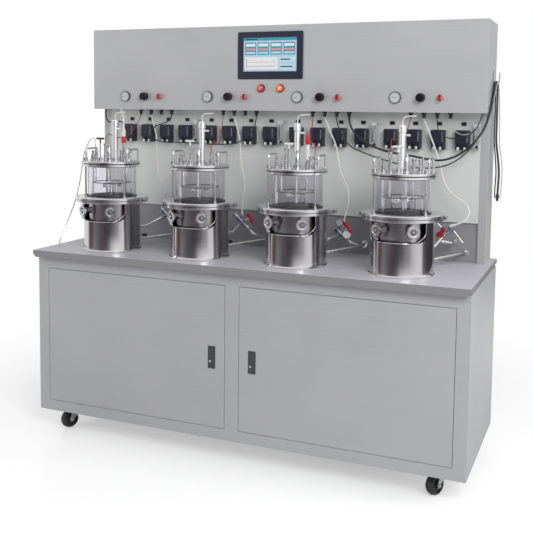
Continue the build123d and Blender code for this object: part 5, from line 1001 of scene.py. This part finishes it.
def cord_line(name, route, diameter, material):
    """Round cord along a smooth line that is drawn towards its route's points, from the first to the last."""
    line = bpy.data.curves.new(name, "CURVE")
    line.dimensions = "3D"
    line.bevel_depth = diameter / 2
    line.bevel_resolution = 5
    line.resolution_u = 10
    line.use_fill_caps = True
    spline = line.splines.new("NURBS")
    spline.points.add(len(route) - 1)
    spline.points.foreach_set("co", np.column_stack([np.array(route), np.ones(len(route))]).ravel())
    spline.order_u = 3
    spline.use_endpoint_u = True
    line.materials.append(material)
    piece = bpy.data.objects.new(name, line)
    bpy.context.scene.collection.objects.link(piece)
    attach(piece, "frame")
    return piece


HOSE_ROUTES = {
    # length in metres, then the route in millimetres
    1: (0.392, [
        (-591, 137, 1316.5), (-571, 124, 1275), (-553, 118, 1226), (-549, 114, 1160), (-546, 110, 1092),
        (-527, 101, 1048), (-497, 92, 1014), (-483, 85, 985), (-487, 79, 953),
    ]),
    2: (0.407, [
        (-190.7, 137, 1316.5), (-173, 124, 1278), (-157, 118, 1233), (-150, 114, 1187), (-146, 109, 1141),
        (-136, 104, 1092), (-119, 98, 1045), (-121, 91, 1004), (-127, 84, 964), (-124, 79, 925),
    ]),
    3: (0.435, [
        (209.6, 137, 1316.5), (238, 123, 1260), (267, 117, 1206), (277, 112, 1160), (284, 108, 1115),
        (304, 103, 1074), (327, 98, 1034), (331, 90, 988), (323, 83, 948), (317, 79, 912),
    ]),
    4: (0.484, [
        (609.9, 137, 1316.5), (640, 123, 1254), (667, 117, 1187), (683, 112, 1138), (695, 108, 1088),
        (716, 102, 1050), (749, 97, 1022), (788, 90, 1004), (803, 84, 968), (788, 75, 937),
        (752, 66, 924),
    ]),
}
for number, (length, route) in HOSE_ROUTES.items():
    route = metres(route)
    hose = cord_line(f"white_hose_line_{number}", route, 0.006, silicone)
    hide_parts(f"white_hose_{number}")
FEED_ROUTE = metres([
    (-711, 85, 1339.5), (-698, 68, 1306), (-655, 6, 1306), (-597, -76, 1332), (-593.5, -82, 1258),
])
feed_tube = cord_line("white_feed_tube", FEED_ROUTE, 0.007, silicone)

# ---- cables ------------------------------------------------------------------------------------
# PVC cables leave the sockets. The thick one and two thinner ones run together past the last pump,
# over the hook and down to a plug that hangs beside the column. Thin red leads go to the lids.


def cable_sheath(name, low, high):
    """Satin PVC: slight clouding and a fine skin."""
    return mottled(name, 0.008, low, high, skin=(0.0008, 0.00002), rough=(0.004, 0.36, 0.5))


cable_black = cable_sheath("cable_black", (0.012, 0.012, 0.014), (0.028, 0.028, 0.030))
cable_grey = cable_sheath("cable_grey", (0.34, 0.34, 0.35), (0.46, 0.46, 0.46))
cable_red = cable_sheath("cable_red", (0.22, 0.012, 0.012), (0.34, 0.022, 0.020))
LOOM_ROUTE = metres([
    (311.6, 137, 1316.5), (320, 122, 1284), (346, 111, 1253), (384, 107, 1224), (428, 105, 1203),
    (474, 101, 1189), (522, 97, 1181), (572, 92, 1176), (628, 88, 1166), (686, 86, 1159), (743, 87, 1176),
    (793, 92, 1213), (833, 102, 1262), (858, 112, 1325), (864, 138, 1383), (866, 172, 1432),
    (866, 198, 1459.5), (867, 228, 1459.5), (868, 242, 1418), (869, 240, 1357), (870, 232, 1292),
    (871, 224, 1228), (880, 226, 1170), (885, 232, 1112), (883, 232, 1068), (882, 230, 1030),
])
loom = cord_line("black_loom_line", LOOM_ROUTE, 0.008, cable_black)
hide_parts("black_loom")
CABLES = {
    # diameter and length in metres, material, slot, then the route in millimetres
    "second_bundle_lead": (0.005, 1.405, cable_black, "black_rubber", [
        (260.6, 137, 1316.5), (262, 130, 1295), (285, 116, 1262), (322, 101, 1205), (379, 95, 1184),
        (428, 93, 1168), (469, 90, 1156), (533, 87, 1141), (590, 82, 1131), (649, 79, 1131),
        (710, 79, 1141), (762, 83, 1172), (808, 92, 1222), (841, 103, 1280), (856, 118, 1340),
        (859, 146, 1396), (859.5, 176, 1440), (859.5, 200, 1458.4), (859.5, 226, 1458.4),
        (860, 246, 1418), (861, 248, 1357), (861, 243, 1292), (862, 236, 1228), (869, 236, 1170),
        (873, 242, 1112), (871, 240, 1068), (870, 236, 1036), (872, 233, 1016),
    ]),
    "grey_bundle_lead": (0.0035, 0.835, cable_grey, "black_rubber", [
        (711.9, 137, 1316.5), (714, 131, 1296), (730, 121, 1272), (760, 113, 1256), (796, 110, 1264),
        (830, 112, 1292), (854, 119, 1334), (868, 142, 1388), (872, 174, 1436), (872.3, 200, 1457.8),
        (872.3, 226, 1457.8), (874, 250, 1415), (877, 250, 1350), (879, 243, 1290), (882, 236, 1220),
        (892, 236, 1165), (896, 241, 1110), (894, 240, 1066), (893, 236, 1036), (891, 232, 1016),
    ]),
    "pump_link_lead": (0.0045, 0.700, cable_black, "black_rubber", [
        (-489, 137, 1316.5), (-493, 130, 1292), (-522, 112, 1280), (-560, 103, 1266), (-574, 101, 1232),
        (-545, 101, 1205), (-480, 105, 1199), (-404, 108, 1203), (-335, 110, 1199), (-270, 108, 1196),
        (-205, 103, 1198), (-150, 101, 1208), (-108, 114, 1240), (-90, 132, 1282), (-88.7, 137, 1316.5),
    ]),
    "far_right_lead": (0.004, 0.275, cable_black, "black_rubber", [
        (660.9, 137, 1316.5), (662, 130, 1294), (674, 117, 1262), (706, 108, 1244), (752, 104, 1244),
        (796, 104, 1262), (824, 108, 1298), (832, 116, 1339),
    ]),
    "far_left_lead": (0.006, 0.168, cable_black, "black_rubber", [
        (-833, 150, 1339), (-833, 148, 1312), (-822, 141, 1288), (-794, 133, 1280), (-766, 129, 1288),
        (-744, 134, 1286), (-733, 148, 1274), (-731, 162, 1268),
    ]),
    "red_lead_1": (0.003, 0.316, cable_red, "red_plastic", [
        (-642, 137, 1316.5), (-645, 130, 1292), (-668, 112, 1252), (-677, 84, 1216), (-679, 30, 1216),
        (-680, -30, 1228), (-680, -84, 1240), (-679.5, -88, 1197.5),
    ]),
    "red_lead_2": (0.003, 0.402, cable_red, "red_plastic", [
        (-241.7, 137, 1316.5), (-240, 129, 1290), (-232, 100, 1250), (-219, 60, 1214), (-195, 0, 1202),
        (-168, -70, 1212), (-149, -140, 1222), (-145.5, -168, 1206), (-145.5, -168, 1176),
    ]),
    "red_lead_3": (0.003, 0.328, cable_red, "red_plastic", [
        (158.6, 137, 1316.5), (160, 130, 1296), (165, 112, 1268), (182, 60, 1229), (205, 0, 1208),
        (232, -56, 1216), (254, -99, 1224), (256.5, -104, 1183.5),
    ]),
    "red_lead_4": (0.003, 0.287, cable_red, "red_plastic", [
        (558.9, 137, 1316.5), (557, 130, 1294), (549, 90, 1258), (542, 30, 1240), (539, -30, 1244),
        (538.5, -84, 1244), (538.5, -88, 1197.5),
    ]),
}
for name, (diameter, length, sheath, slot, route) in CABLES.items():
    route = metres(route)
    cable = cord_line(name, route, diameter, sheath)

# ---- sampling tube -----------------------------------------------------------------------------
# Bent stainless tube, 4 mm, from the first vessel's lid down to the end of the bench.
SAMPLE_ROUTE = metres([
    (-647.5, -206, 1172), (-647.5, -206, 1215), (-675, -190, 1226), (-716, -160, 1200),
    (-752, -140, 1150), (-763, -134, 1105), (-780, -132, 1020), (-802, -134, 945), (-822, -165, 860),
    (-830, -203, 800), (-830, -203, 764),
])
new_piece("sampling_tube", [(bright_steel, [swept(SAMPLE_ROUTE, 0.002)])])
